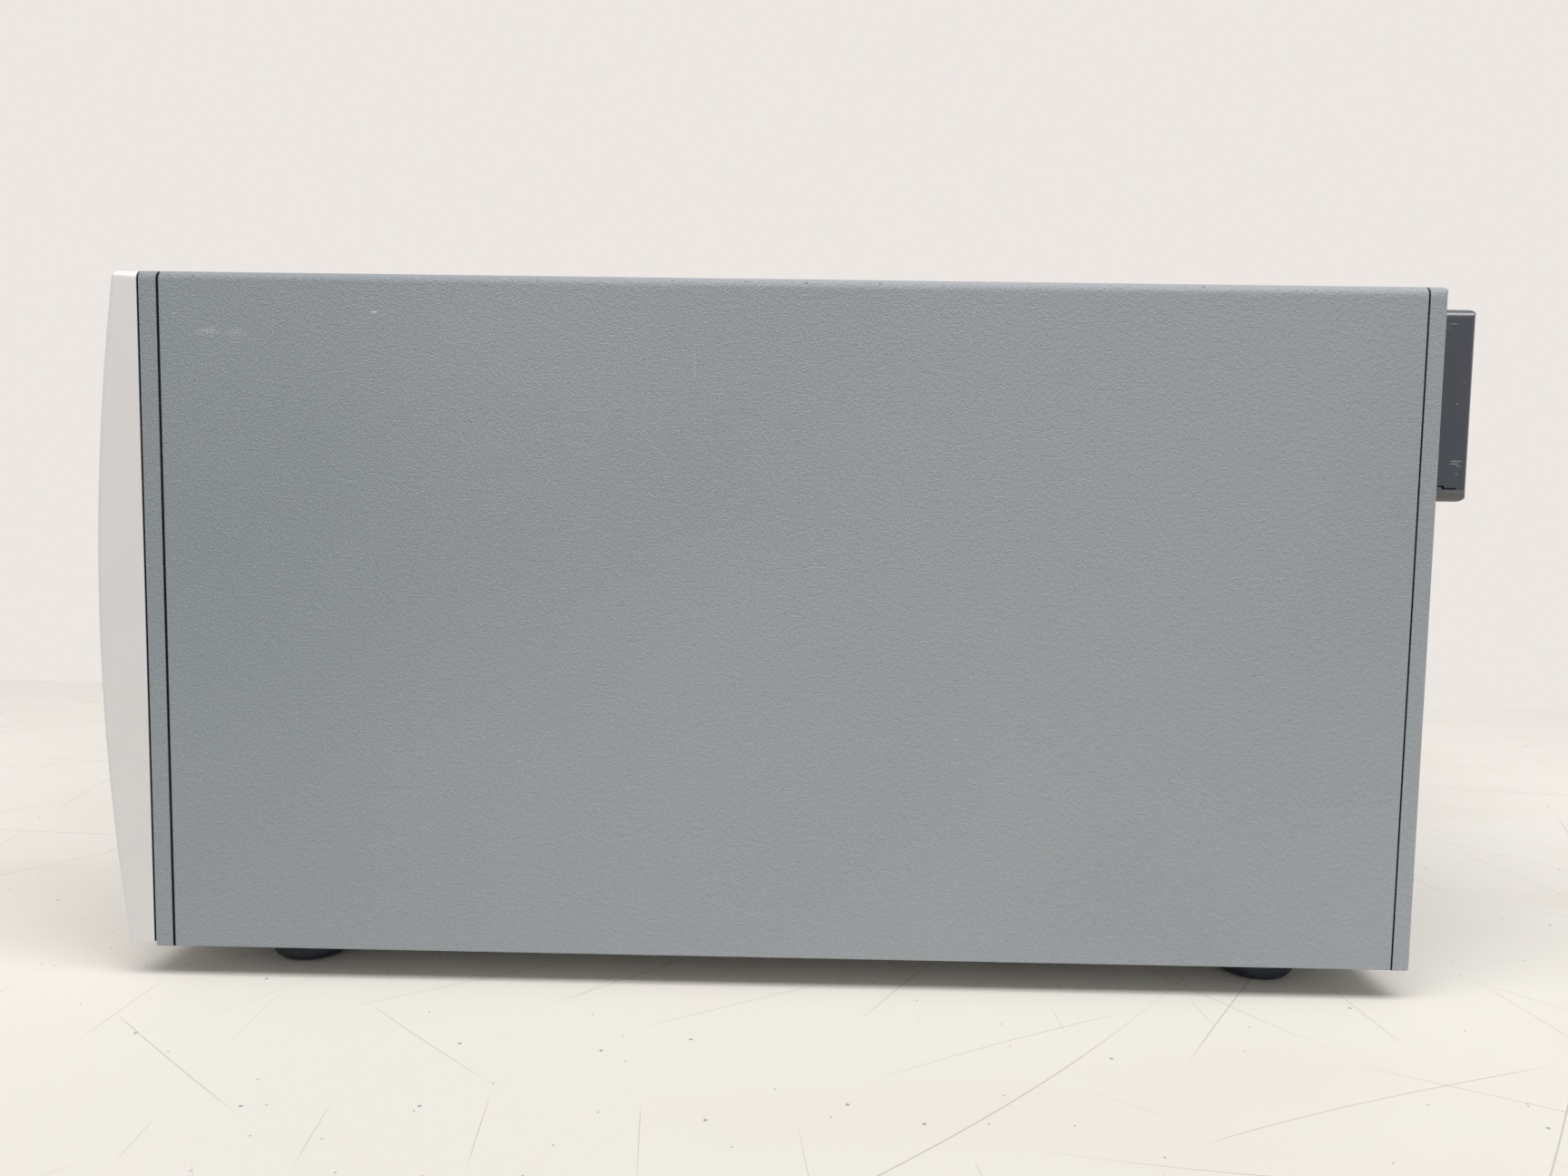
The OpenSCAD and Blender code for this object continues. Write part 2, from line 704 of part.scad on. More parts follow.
module foot_screws() {
    head_r = 3.8;
    head_t = 2.4;
    socket_r = 1.8;
    socket_deep = 1.4;
    nut_r = 4;
    nut_h = 3.2;
    nut_z = z_bot + frame_t;
    head_z = foot_recess_h - head_t;
    color(steel) for (p = foot_places) translate([p[0], p[1], 0]) {
        difference() {
            translate([0, 0, head_z]) cylinder(r = head_r, h = head_t);
            translate([0, 0, head_z - cut]) cylinder(r = socket_r, h = cut + socket_deep, $fn = 6);
        }
        translate([0, 0, foot_recess_h]) cylinder(r = m4_r, h = nut_z + nut_h - foot_recess_h);
        difference() {
            translate([0, 0, nut_z]) cylinder(r = nut_r, h = nut_h, $fn = 6);
            translate([0, 0, nut_z - cut]) cylinder(r = m4_r - 0.5, h = nut_h + 2 * cut);
        }
    }
}

// ---------- fan and its filter ----------
fan_y0 = panel_in - fan_t;
fan_hub_r = 13;
fan_shaft_r = 1.5;
fan_strut_t = 3;
fan_tube_l = 13;
fan_blades = 7;
guard_t = 4;
guard_w = hood_s - 2 * hood_wall - 2 * slide_gap;
guard_rim = 1.8;
head_h = 1.2 * m3_r;

function fan_screw_places() = [for (sx = [-1, 1], sz = [-1, 1])
    [hood_x + sx * fan_pitch / 2, hood_z + sz * fan_pitch / 2]];

// Bars from a central ring, standing in the X-Z plane about the fan's axis
module spokes(n, start, r0, r1, w, y0, y1)
    for (i = [0 : n - 1]) translate([hood_x, 0, hood_z]) rotate([0, start + i * 360 / n, 0])
        block([r0, y0, -w / 2], [r1, y1, w / 2]);

module fan_housing() {
    color(plastic_black) difference() {
        union() {
            difference() {
                along_y(fan_y0, panel_in) translate([hood_x, hood_z]) round_rect(fan_s, fan_s, 3);
                bar_y(fan_bore, fan_y0 - cut, panel_in + cut, hood_x, hood_z);
            }
            bar_y(fan_hub_r, fan_y0, fan_y0 + fan_strut_t, hood_x, hood_z);
            bar_y(3.5, fan_y0, fan_y0 + fan_tube_l, hood_x, hood_z);
            spokes(4, 45, fan_hub_r - 1, fan_bore + 0.5, 4, fan_y0, fan_y0 + fan_strut_t);
        }
        bar_y(fan_shaft_r + run_gap, fan_y0 + fan_strut_t / 2, panel_in, hood_x, hood_z);
        for (p = fan_screw_places()) bar_y(m3_r + 0.05, fan_y0 - cut, panel_in + cut, p[0], p[1]);
    }
}

module fan_rotor() {
    hub_y0 = fan_y0 + fan_strut_t + 0.7;
    hub_y1 = panel_in - 3;
    cap_t = 2;
    blade_t = 1.6;
    blade_pitch = 38;
    blade_deep = (hub_y1 - hub_y0 - 2) / sin(blade_pitch + 12);
    color(plastic_black) {
        difference() {
            bar_y(fan_hub_r, hub_y0, hub_y1, hood_x, hood_z);
            bar_y(fan_hub_r - 1.6, hub_y0 - cut, hub_y1 - cap_t, hood_x, hood_z);
        }
        bar_y(fan_shaft_r, fan_y0 + fan_strut_t / 2 + 1, hub_y1, hood_x, hood_z);
        difference() {
            intersection() {
                bar_y(fan_bore - 0.8, hub_y0, hub_y1, hood_x, hood_z);
                for (i = [0 : fan_blades - 1]) translate([hood_x, (hub_y0 + hub_y1) / 2, hood_z])
                    rotate([0, i * 360 / fan_blades, 0]) rotate([blade_pitch, 0, 0])
                    translate([0, -blade_deep / 2, -blade_t / 2]) cube([fan_bore, blade_deep, blade_t]);
            }
            bar_y(fan_hub_r - 0.8, hub_y0 - cut, hub_y1 + cut, hood_x, hood_z);
        }
    }
}

// Finger guard with a rim that holds the foam
module fan_guard() {
    color(plastic_black) difference() {
        union() {
            difference() {
                along_y(y_rear, y_rear + guard_t) translate([hood_x, hood_z])
                    round_rect(guard_w, guard_w, hood_r - hood_wall);
                bar_y(fan_bore, y_rear - cut, y_rear + guard_t + cut, hood_x, hood_z);
            }
            along_y(y_rear, y_rear + guard_t + 7) translate([hood_x, hood_z]) difference() {
                round_rect(guard_w, guard_w, hood_r - hood_wall);
                round_rect(guard_w - 2 * guard_rim, guard_w - 2 * guard_rim, 1);
            }
            spokes(4, 0, 5, fan_bore + 1, 2.4, y_rear + guard_t / 2, y_rear + guard_t);
            bar_y(6, y_rear + guard_t / 2, y_rear + guard_t, hood_x, hood_z);
            for (r = [13, 21]) difference() {
                bar_y(r + 0.9, y_rear + guard_t / 2, y_rear + guard_t, hood_x, hood_z);
                bar_y(r - 0.9, y_rear, y_rear + guard_t + cut, hood_x, hood_z);
            }
        }
        for (p = fan_screw_places()) {
            bar_y(m3_r + screw_gap, y_rear - cut, y_rear + guard_t + cut, p[0], p[1]);
            bar_y(2 * m3_r + screw_gap, y_rear + guard_t - head_h - 0.2, y_rear + guard_t + cut, p[0], p[1]);
        }
    }
}

module fan_screws() {
    seat = y_rear + guard_t - head_h - 0.2;
    color(steel) for (p = fan_screw_places())
        translate([0, 2 * seat, 0]) mirror([0, 1, 0]) screw_y(p[0], seat, p[1], m3_r, 16);
}

module filter_foam() {
    s = guard_w - 2 * guard_rim - 2 * slide_gap;
    color(black) along_y(y_rear + guard_t, y_rear + hood_reach - hood_wall - slide_gap)
        translate([hood_x, hood_z]) round_rect(s, s, 1.5);
}

// Hood outline with every outer edge rounded; inset moves each face inwards
module hood_solid(inset) {
    s = hood_s - 2 * inset;
    reach = hood_reach - inset;
    r = max(hood_r - inset, 0.5);
    edge_r = max(hood_edge_r - inset, 0.4);
    mid_y = y_rear + reach / 2 - edge_r;
    intersection() {
        along_y(y_rear - cut * (inset > 0 ? 1 : 0), y_rear + reach) translate([hood_x, hood_z])
            round_rect(s, s, r);
        along_x(hood_x - s / 2, hood_x + s / 2) translate([mid_y, hood_z])
            round_rect(reach + 2 * edge_r, s, edge_r);
        translate([hood_x, mid_y, hood_z - s / 2]) linear_extrude(s)
            round_rect(s, reach + 2 * edge_r, edge_r);
    }
}

// Hood with louvres and, low on each side, the stepped slit of the catch that holds it to its guard
module filter_hood() {
    louvres = 9;
    pitch = 6;
    louvre_w = hood_s - 19;
    slit_h = 0.6;
    slit_d = 0.7;
    slit_step = 0.7;
    slit_z = hood_z - hood_s / 2 + hood_r + slit_step;
    step_y = y_rear + hood_reach / 2;
    end_y = y_rear + hood_reach - 2 * hood_edge_r;
    color(black) difference() {
        hood_solid(0);
        hood_solid(hood_wall);
        for (i = [0 : louvres - 1])
            mid_block([hood_x, y_rear + hood_reach, hood_z + (i - (louvres - 1) / 2) * pitch],
                [louvre_w, 3 * hood_wall, pitch / 2]);
        for (s = [-1, 1]) translate([hood_x + s * hood_s / 2 - slit_d, 0, slit_z]) {
            translate([0, y_rear - cut, 0]) cube([2 * slit_d, step_y - y_rear + cut, slit_h]);
            translate([0, step_y, -slit_step]) cube([2 * slit_d, end_y - step_y, slit_h]);
        }
    }
}

// ---------- mains inlet ----------
inlet_body_w = 31;
inlet_body_h = 58;
inlet_body_d = 28;
inlet_flange = 3;
socket_z = inlet_z - 15;
socket_w = 25;
socket_h = 16.5;
socket_d = 16.5;
socket_y = y_rear + inlet_flange - socket_d;
rocker_z = inlet_z + 15;
rocker_y = y_rear + 0.4;
rocker_w = 14;
rocker_half = 10;
rocker_tilt = 10;
rocker_pin_r = 1.2;
pin_places = [[-7, -1.5], [7, -1.5], [0, 2.5]];

module power_inlet() {
    window_half = rocker_half + 1.2;
    color(plastic_black) difference() {
        union() {
            mid_block([inlet_x, y_rear + inlet_flange / 2, inlet_z],
                [inlet_body_w + 7, inlet_flange, inlet_body_h + 7]);
            block([inlet_x - inlet_body_w / 2, y_rear - inlet_body_d, inlet_z - inlet_body_h / 2],
                [inlet_x + inlet_body_w / 2, y_rear, inlet_z + inlet_body_h / 2]);
        }
        difference() {
            mid_block([inlet_x, socket_y + socket_d / 2 + cut, socket_z],
                [socket_w, socket_d + 2 * cut, socket_h]);
            for (s = [-1, 1]) translate([inlet_x + s * socket_w / 2, socket_y, socket_z + socket_h / 2])
                rotate([-90, 45, 0]) translate([-3, -3, -cut]) cube([6, 6, socket_d + 4 * cut]);
        }
        for (p = pin_places)
            mid_block([inlet_x + p[0], y_rear - inlet_body_d / 2, socket_z + p[1]],
                [2.1, inlet_body_d + 2 * cut, 4.1]);
        mid_block([inlet_x, y_rear + inlet_flange - 7, rocker_z], [rocker_w + 0.8, 14 + cut, 2 * window_half]);
        bar_x(rocker_pin_r + run_gap, inlet_x - rocker_w / 2 - 3, inlet_x + rocker_w / 2 + 3,
            rocker_y, rocker_z);
    }
}

module inlet_pins() {
    color(brass) for (p = pin_places)
        block([inlet_x + p[0] - 1, y_rear - inlet_body_d - 6, socket_z + p[1] - 2],
            [inlet_x + p[0] + 1, y_rear + inlet_flange - 3, socket_z + p[1] + 2]);
}

module power_rocker() {
    color(black) translate([0, rocker_y, rocker_z]) rotate([rocker_tilt, 0, 0]) union() {
        along_x(inlet_x - rocker_w / 2, inlet_x + rocker_w / 2) polygon([
            [-6, -5], [-6, 5], [1, rocker_half], [3.2, rocker_half], [2, 0],
            [3.2, -rocker_half], [1, -rocker_half]]);
        bar_x(rocker_pin_r, inlet_x - rocker_w / 2 - 2.5, inlet_x + rocker_w / 2 + 2.5, 0, 0);
    }
}

// ---------- electronics ----------
usb_w = 12;
usb_h = 11;
usb_z = board_top + usb_h / 2;
serial_w = 17;
serial_h = 9;
serial_z = board_top + 7;

// Four pillars between the base and a board, from the board's corner
module pillars(w, l) {
    pillar_r = 3;
    inset = 5;
    for (x = [inset, w - inset], y = [inset, l - inset]) bar_z(pillar_r, z_bot + frame_t, board_z, x, y);
}

module main_board() {
    // Place from the board's corner, width, length and height of each chip and module
    chips = [[25, 32, 20, 20, 3], [60, 42, 14, 20, 3], [98, 47, 26, 16, 12], [40, 77, 10, 16, 3],
        [76, 80, 12, 8, 4]];
    socket = [14, 6, 8];
    sockets = 5;
    socket_pitch = 20;
    can_r = 4.5;
    can_h = 12;
    color(board_green) translate([board_x0, board_y0, 0]) union() {
        block([0, 0, board_z], [board_w, board_l, board_top]);
        pillars(board_w, board_l);
        for (c = chips) mid_block([c[0], c[1], board_top + c[4] / 2], [c[2], c[3], c[4]]);
        for (i = [0 : sockets - 1])
            mid_block([12 + i * socket_pitch, socket[1], board_top + socket[2] / 2], socket);
        for (x = [120, 132]) bar_z(can_r, board_top, board_top + can_h, x, 87);
    }
}

module usb_port() {
    shell_t = 1.5;
    deep = 16;
    back_y = 12;
    back_t = 2;
    tongue = [5, 7, 3];
    y1 = y_rear + 0.6;
    inner_w = usb_w - 2 * shell_t;
    inner_h = usb_h - 2 * shell_t;
    color(steel) difference() {
        block([usb_x - usb_w / 2, y1 - deep, board_top], [usb_x + usb_w / 2, y1, board_top + usb_h]);
        mid_block([usb_x, y1, usb_z], [inner_w, 2 * (deep - shell_t), inner_h]);
    }
    color(black) mid_block([usb_x, y1 - back_y + back_t + tongue[1] / 2, usb_z], tongue);
    color(black) mid_block([usb_x, y1 - back_y + back_t / 2, usb_z], [inner_w, back_t, inner_h]);
}

module serial_port() {
    shell_t = 0.6;
    body_l = 9.6;
    body_top = board_top + 13;
    proud = 5;
    socket_l = 5.5;
    pin_r = 0.5;
    pin_pitch = 2.76;
    row_gap = 2.8;
    y1 = y_rear + proud;
    color(steel) difference() {
        union() {
            block([serial_x - serial_w / 2, panel_in - body_l - 0.4, board_top],
                [serial_x + serial_w / 2, panel_in - 0.4, body_top]);
            along_y(panel_in - 1, y1) translate([serial_x, serial_z]) round_rect(serial_w, serial_h, 2.5);
        }
        along_y(y1 - socket_l, y1 + cut) translate([serial_x, serial_z])
            round_rect(serial_w - 2 * shell_t, serial_h - 2 * shell_t, 2);
    }
    color(brass) for (row = [0, 1], i = [0 : 4 - row])
        bar_y(pin_r, y1 - socket_l - 0.5, y1 - 1, serial_x + (i - 2 + row / 2) * pin_pitch,
            serial_z + row_gap * (0.5 - row));
}

// Open-frame supply: transformer, choke, finned heat sink, two tall capacitors and a mains filter
module power_supply() {
    w = 100;
    l = 48;
    inlet_room = 26;
    x0 = inlet_x + inlet_room;
    y0 = panel_in - board_gap - l;
    transformer = [28, 26, 24];
    choke = [14, 22, 16];
    sink = [30, 3, 24];
    fin = [1.5, 5, 24];
    fins = 5;
    fin_pitch = 6;
    can_r = 5.5;
    can_h = 22;
    line_filter = [16, 12, 10];
    sink_x = w - 26;
    sink_y = 38;
    transformer_x = 45;
    choke_x = 14;
    filter_place = [68, 10];
    can_x = w - 10;
    can_ys = [8, 22];
    color(board_green) translate([x0, y0, 0]) union() {
        block([0, 0, board_z], [w, l, board_top]);
        pillars(w, l);
        mid_block([transformer_x, l / 2, board_top + transformer[2] / 2], transformer);
        mid_block([choke_x, l / 2, board_top + choke[2] / 2], choke);
        mid_block([sink_x, sink_y, board_top + sink[2] / 2], sink);
        for (i = [0 : fins - 1]) mid_block([sink_x + (i - (fins - 1) / 2) * fin_pitch,
            sink_y - (sink[1] + fin[1]) / 2 + 0.5, board_top + fin[2] / 2], fin);
        for (y = can_ys) bar_z(can_r, board_top, board_top + can_h, can_x, y);
        mid_block([filter_place[0], filter_place[1], board_top + line_filter[2] / 2], line_filter);
    }
}

// ---------- decks ----------
upper_reach = 92;
upper_y0 = optic_y - upper_reach;
upper_y1 = deck_y1 - 2;
post_r = 5;
post_inset_x = 6.5;
post_inset_y = 12;
post_x = deck_w / 2 - post_inset_x;
low_post_places = [for (s = [-1, 1], y = [deck_y0 + post_inset_y, optic_y, deck_y1 - post_inset_y])
    [s * post_x, y]];
up_post_places = [for (s = [-1, 1], y = [upper_y0 + post_inset_y, upper_y1 - post_inset_y])
    [s * post_x, y]];
window_x = 110;
window_w = 60;
window_l = 70;
window_place = 110;
deck_open_r = 21;
plate_half = 24;
pilot_r = 11;
stud_r = 2.5;
motor_rise = 24;

module lower_deck() {
    color(alloy) difference() {
        union() {
            block([-deck_w / 2, deck_y0, deck_z], [deck_w / 2, deck_y1, deck_top]);
            for (s = [-1, 1]) block([s * x_pulley_x - plate_half, motor_plate_y, deck_z],
                [s * x_pulley_x + plate_half, deck_y1, x_rail_z + motor_rise]);
            bar_y(stud_r, x_belt_y - pulley_w / 2 - stud_room, deck_y1, -x_pulley_x, x_rail_z);
            bar_y(2 * stud_r, x_belt_y + pulley_w / 2 + slide_gap, deck_y1, -x_pulley_x, x_rail_z);
        }
        bar_y(pilot_r + 0.1, motor_plate_y - cut, deck_y1 + cut, x_pulley_x, x_rail_z);
        bar_z(deck_open_r, deck_z - cut, deck_top + cut, 0, optic_y + 2 * deck_open_r + 4);
        for (p = concat(low_post_places, up_post_places))
            bar_z(m3_r + 0.05, deck_z - cut, deck_top + cut, p[0], p[1]);
        for (s = [-1, 1]) mid_block([s * window_x, deck_y0 + window_place, deck_z],
            [window_w, window_l, 4 * deck_t]);
    }
}

module deck_posts() {
    z1 = z_bot + frame_t;
    stub = 2.5;
    color(steel) {
        for (p = low_post_places) {
            bar_z(post_r, z1, deck_z, p[0], p[1]);
            bar_z(m3_r, deck_z - cut, deck_z + stub, p[0], p[1]);
        }
        for (p = up_post_places) {
            bar_z(post_r, deck_top, upper_z, p[0], p[1]);
            bar_z(m3_r, deck_top - stub, deck_top + cut, p[0], p[1]);
            bar_z(m3_r, upper_z - cut, upper_top + 2, p[0], p[1]);
        }
    }
}

module upper_deck() {
    color(alloy) difference() {
        block([-deck_w / 2, upper_y0, upper_z], [deck_w / 2, upper_y1, upper_top]);
        bar_z(objective_r + 0.3, upper_z - cut, upper_top + cut, 0, optic_y);
        for (p = up_post_places) bar_z(m3_r + 0.1, upper_z - cut, upper_top + cut, p[0], p[1]);
        for (s = [-1, 1]) mid_block([s * window_x, upper_y1 - 60, upper_z], [70, 50, 4 * deck_t]);
    }
}

// ---------- X transport ----------
x_bush_r = 8;
x_bush_l = 28;
y_bush_r = 7.5;
seat_gap = 0.02;
clamp_top = y_rail_z + 7;
bar_x0 = slot_x - bar_w / 2;
bar_x1 = slot_x + bar_w / 2;
bracket_t = 3;
bracket_x = y_belt_x - pulley_w / 2 - stud_room;
y_motor_s = 35;
x_motor_s = 42;
x_motor_l = 34;
y_motor_l = 26;
y_motor_y = rear_rail_y + 5;
jaw_gap = 0.35;
jaw_t = 4;
belt_r0 = pulley_r + belt_gap;
belt_r1 = belt_r0 + belt_t;

module x_rails() {
    color(steel) for (y = [front_rail_y, rear_rail_y]) bar_x(x_rail_r, -x_rail_half, x_rail_half, y, x_rail_z);
}

module x_rail_blocks() {
    color(alloy) difference() {
        for (s = [-1, 1], y = [front_rail_y, rear_rail_y])
            block([s * (x_rail_half - block_half) - block_half, y - bar_half + 1, deck_top],
                [s * (x_rail_half - block_half) + block_half, y + bar_half - 1, x_rail_z + 9]);
        for (y = [front_rail_y, rear_rail_y])
            bar_x(x_rail_r + seat_gap, -x_rail_half - cut, x_rail_half + cut, y, x_rail_z);
    }
}

// Crossbar with its two clamps for the plate rails
module crossbar(y) {
    difference() {
        union() {
            block([bar_x0, y - bar_half, bar_z], [bar_x1, y + bar_half, bar_top]);
            for (s = [-1, 1]) mid_block([slot_x + s * rail_spread, y, (bar_top + clamp_top) / 2],
                [18, 2 * bar_half, clamp_top - bar_top]);
        }
        bar_x(x_bush_r + seat_gap, bar_x0 - cut, bar_x1 + cut, y, x_rail_z);
        for (s = [-1, 1]) bar_y(y_rail_r + seat_gap, y - bar_half - cut, y + bar_half + cut,
            slot_x + s * rail_spread, y_rail_z);
    }
}

module front_crossbar() {
    color(alloy) {
        crossbar(front_rail_y);
        block([bracket_x - bracket_t, front_rail_y - 7, bar_top], [bracket_x, front_rail_y + 7, y_belt_z + 7]);
        bar_x(stud_r, bracket_x - bracket_t, y_belt_x + pulley_w / 2 + stud_room, front_rail_y, y_belt_z);
        bar_x(2 * stud_r, bracket_x - bracket_t, y_belt_x - pulley_w / 2 - slide_gap, front_rail_y, y_belt_z);
    }
}

// Crossbar with the plate motor's bracket and the jaw that grips the upper run of the cross belt
module rear_crossbar() {
    run_z = x_rail_z + belt_r0;
    jaw_y = x_belt_y - belt_w / 2 - jaw_gap;
    jaw_half = 15;
    color(alloy) {
        crossbar(rear_rail_y);
        difference() {
            block([bracket_x - bracket_t, y_motor_y - y_motor_s / 2, bar_top],
                [bracket_x, y_motor_y + y_motor_s / 2, y_belt_z + y_motor_s / 2]);
            bar_x(pilot_r + 0.1, bracket_x - bracket_t - cut, bracket_x + cut, y_motor_y, y_belt_z);
        }
        difference() {
            block([slot_x - jaw_half, rear_rail_y + bar_half - 1, run_z - jaw_t - 1],
                [slot_x + jaw_half, x_belt_y + belt_w / 2 + 2, run_z + belt_t + jaw_t]);
            block([slot_x - jaw_half - cut, jaw_y, run_z - jaw_gap],
                [slot_x + jaw_half + cut, x_belt_y + belt_w, run_z + belt_t + jaw_gap]);
        }
    }
}

module x_bushes() {
    color(brass) for (y = [front_rail_y, rear_rail_y], x0 = [bar_x0, bar_x1 - x_bush_l]) difference() {
        bar_x(x_bush_r, x0, x0 + x_bush_l, y, x_rail_z);
        bar_x(x_rail_r + run_gap, x0 - cut, x0 + x_bush_l + cut, y, x_rail_z);
    }
}

// ---------- Y transport ----------
module y_rails() {
    color(steel) for (s = [-1, 1])
        bar_y(y_rail_r, front_rail_y - bar_half, rear_rail_y + bar_half, slot_x + s * rail_spread, y_rail_z);
}

pocket_gap = 0.5;
ledge = 3;
block_y0 = tray_y + tray_l / 2 + neck_l;
lever_x = slot_x + plate_l / 2 - 12;
pocket_edge = tray_y + plate_w / 2 + pocket_gap;
lever_y = pocket_edge + 2.6;
lever_pin_r = 1.2;

module plate_carrier() {
    top = tray_z + tray_h;
    pocket = [plate_l + 2 * pocket_gap, plate_w + 2 * pocket_gap];
    neck_half = 32;
    neck_t = 7;
    rail_half = 9;
    block_half_w = rail_spread + 10;
    run_z = y_belt_z - belt_r1;
    jaw_x = y_belt_x + belt_w / 2 + jaw_gap;
    color(plastic_black) difference() {
        union() {
            translate([slot_x, tray_y, tray_z]) linear_extrude(tray_h) round_rect(tray_w, tray_l, 5);
            block([slot_x - neck_half, tray_y + tray_l / 2 - 1, tray_z],
                [slot_x + neck_half, block_y0 + 1, tray_z + neck_t]);
            block([slot_x - block_half_w, block_y0, y_rail_z - rail_half],
                [slot_x + block_half_w, block_y0 + block_l, y_rail_z + rail_half]);
            difference() {
                block([y_belt_x - belt_w / 2 - 1, block_y0 + 5, y_rail_z + rail_half - 1],
                    [jaw_x + jaw_t, block_y0 + block_l - 5, run_z + belt_t + jaw_t]);
                block([y_belt_x - belt_w, block_y0, run_z - jaw_gap],
                    [jaw_x, block_y0 + block_l, run_z + belt_t + jaw_gap]);
            }
        }
        translate([slot_x, tray_y, plate_seat_z]) linear_extrude(tray_h) round_rect(pocket[0], pocket[1], 3);
        translate([slot_x, tray_y, tray_z - cut]) linear_extrude(tray_h)
            round_rect(pocket[0] - 2 * ledge, pocket[1] - 2 * ledge, 3);
        for (s = [-1, 1]) mid_block([slot_x + s * plate_l / 2, tray_y, top],
            [18, 24, 2 * (top - plate_seat_z)]);
        block([lever_x - 15, pocket_edge - cut, plate_seat_z], [lever_x - 8, pocket_edge + 5.3, top + cut]);
        bar_z(lever_pin_r + run_gap, top - 6, top + cut, lever_x, lever_y);
        for (s = [-1, 1]) bar_y(y_bush_r + seat_gap, block_y0 - cut, block_y0 + block_l + cut,
            slot_x + s * rail_spread, y_rail_z);
    }
}

module plate_clamp() {
    top = tray_z + tray_h + slide_gap;
    color(steel) {
        bar_z(3, top, top + 2, lever_x, lever_y);
        bar_z(lever_pin_r, top - 5.5, top + 2, lever_x, lever_y);
        block([lever_x - 13, lever_y - 1, top], [lever_x + 14, lever_y + 1, top + 2]);
        block([lever_x - 13, pocket_edge - 0.4, top - 4], [lever_x - 10, lever_y + 1, top + 2]);
    }
}

module y_bushes() {
    color(brass) for (s = [-1, 1]) difference() {
        bar_y(y_bush_r, block_y0, block_y0 + block_l, slot_x + s * rail_spread, y_rail_z);
        bar_y(y_rail_r + run_gap, block_y0 - cut, block_y0 + block_l + cut, slot_x + s * rail_spread, y_rail_z);
    }
}

// ---------- motors, pulleys and belts ----------
// Each is drawn along +Z about the origin, then turned into place
module to_y(x, y, z) translate([x, y, z]) rotate([-90, 0, 0]) children();
module to_x(x, y, z) translate([x, y, z]) rotate([0, 90, 0]) children();

// Stepper motor: mounting face at z = 0, body below, shaft bore through the face
module motor(s, l) {
    difference() {
        union() {
            translate([0, 0, -l]) linear_extrude(l) intersection() {
                square(s, center = true);
                rotate(45) square(1.27 * s, center = true);
            }
            cylinder(r = pilot_r, h = 2);
        }
        translate([0, 0, -l / 2]) cylinder(r = stud_r + run_gap, h = l);
    }
}

// Toothed pulley with two flanges, centred on the origin, on a bore or a shaft
module pulley(bore_r) {
    flange_t = 1;
    groove_w = 1.3;
    groove_d = 0.8;
    difference() {
        union() {
            linear_extrude(pulley_w - flange_t, center = true) difference() {
                circle(pulley_r);
                for (i = [0 : pulley_teeth - 1]) rotate(i * 360 / pulley_teeth)
                    translate([pulley_r - groove_d, -groove_w / 2]) square([2 * groove_d, groove_w]);
            }
            for (s = [-1, 1]) translate([0, 0, s * (pulley_w - flange_t) / 2])
                cylinder(r = flange_r, h = flange_t, center = true);
        }
        if (bore_r > 0) cylinder(r = bore_r, h = pulley_w + 2 * cut, center = true);
    }
}

// Closed belt around two pulleys, a drawing in the plane of the belt
module belt_loop(gap) difference() {
    union() {
        for (x = [0, gap]) translate([x, 0]) circle(belt_r1);
        translate([0, -belt_r1]) square([gap, 2 * belt_r1]);
    }
    for (x = [0, gap]) translate([x, 0]) circle(belt_r0);
    translate([0, -belt_r0]) square([gap, 2 * belt_r0]);
}

module x_motor() {
    color(black) to_y(x_pulley_x, deck_y1, x_rail_z) mirror([0, 0, 1]) motor(x_motor_s, x_motor_l);
}

module x_drive_pulley() {
    color(alloy) {
        to_y(x_pulley_x, x_belt_y, x_rail_z) pulley(0);
        bar_y(stud_r, x_belt_y, deck_y1 + x_motor_l / 2 - 2, x_pulley_x, x_rail_z);
    }
}

module x_idler() {
    color(alloy) to_y(-x_pulley_x, x_belt_y, x_rail_z) pulley(stud_r + run_gap);
}

module x_belt() {
    color(black) along_y(x_belt_y - belt_w / 2, x_belt_y + belt_w / 2)
        translate([-x_pulley_x, x_rail_z]) belt_loop(2 * x_pulley_x);
}

module y_motor() {
    color(black) to_x(bracket_x - bracket_t, y_motor_y, y_belt_z) motor(y_motor_s, y_motor_l);
}

module y_drive_pulley() {
    color(alloy) {
        to_x(y_belt_x, y_motor_y, y_belt_z) pulley(0);
        bar_x(stud_r, bracket_x - bracket_t - y_motor_l / 2 + 1, y_belt_x, y_motor_y, y_belt_z);
    }
}

module y_idler() {
    color(alloy) to_x(y_belt_x, front_rail_y, y_belt_z) pulley(stud_r + run_gap);
}

module y_belt() {
    color(black) along_x(y_belt_x - belt_w / 2, y_belt_x + belt_w / 2)
        translate([front_rail_y, y_belt_z]) belt_loop(y_motor_y - front_rail_y);
}

// ---------- optical bench ----------
objective_r = 15;
objective_rise = 22;
objective_low = plate_seat_z + objective_rise;
tube_r = 12;
beam_r = 7;
wheel_room = 4;
wheel_motor_s = 28;
wheel_motor_l = 28;
wheel_face_x = wheel_x - wheel_t / 2;
motor_face_x = wheel_face_x - 3;
nozzle_x = wheel_x + wheel_t / 2 + wheel_room;
nozzle_l = 8;

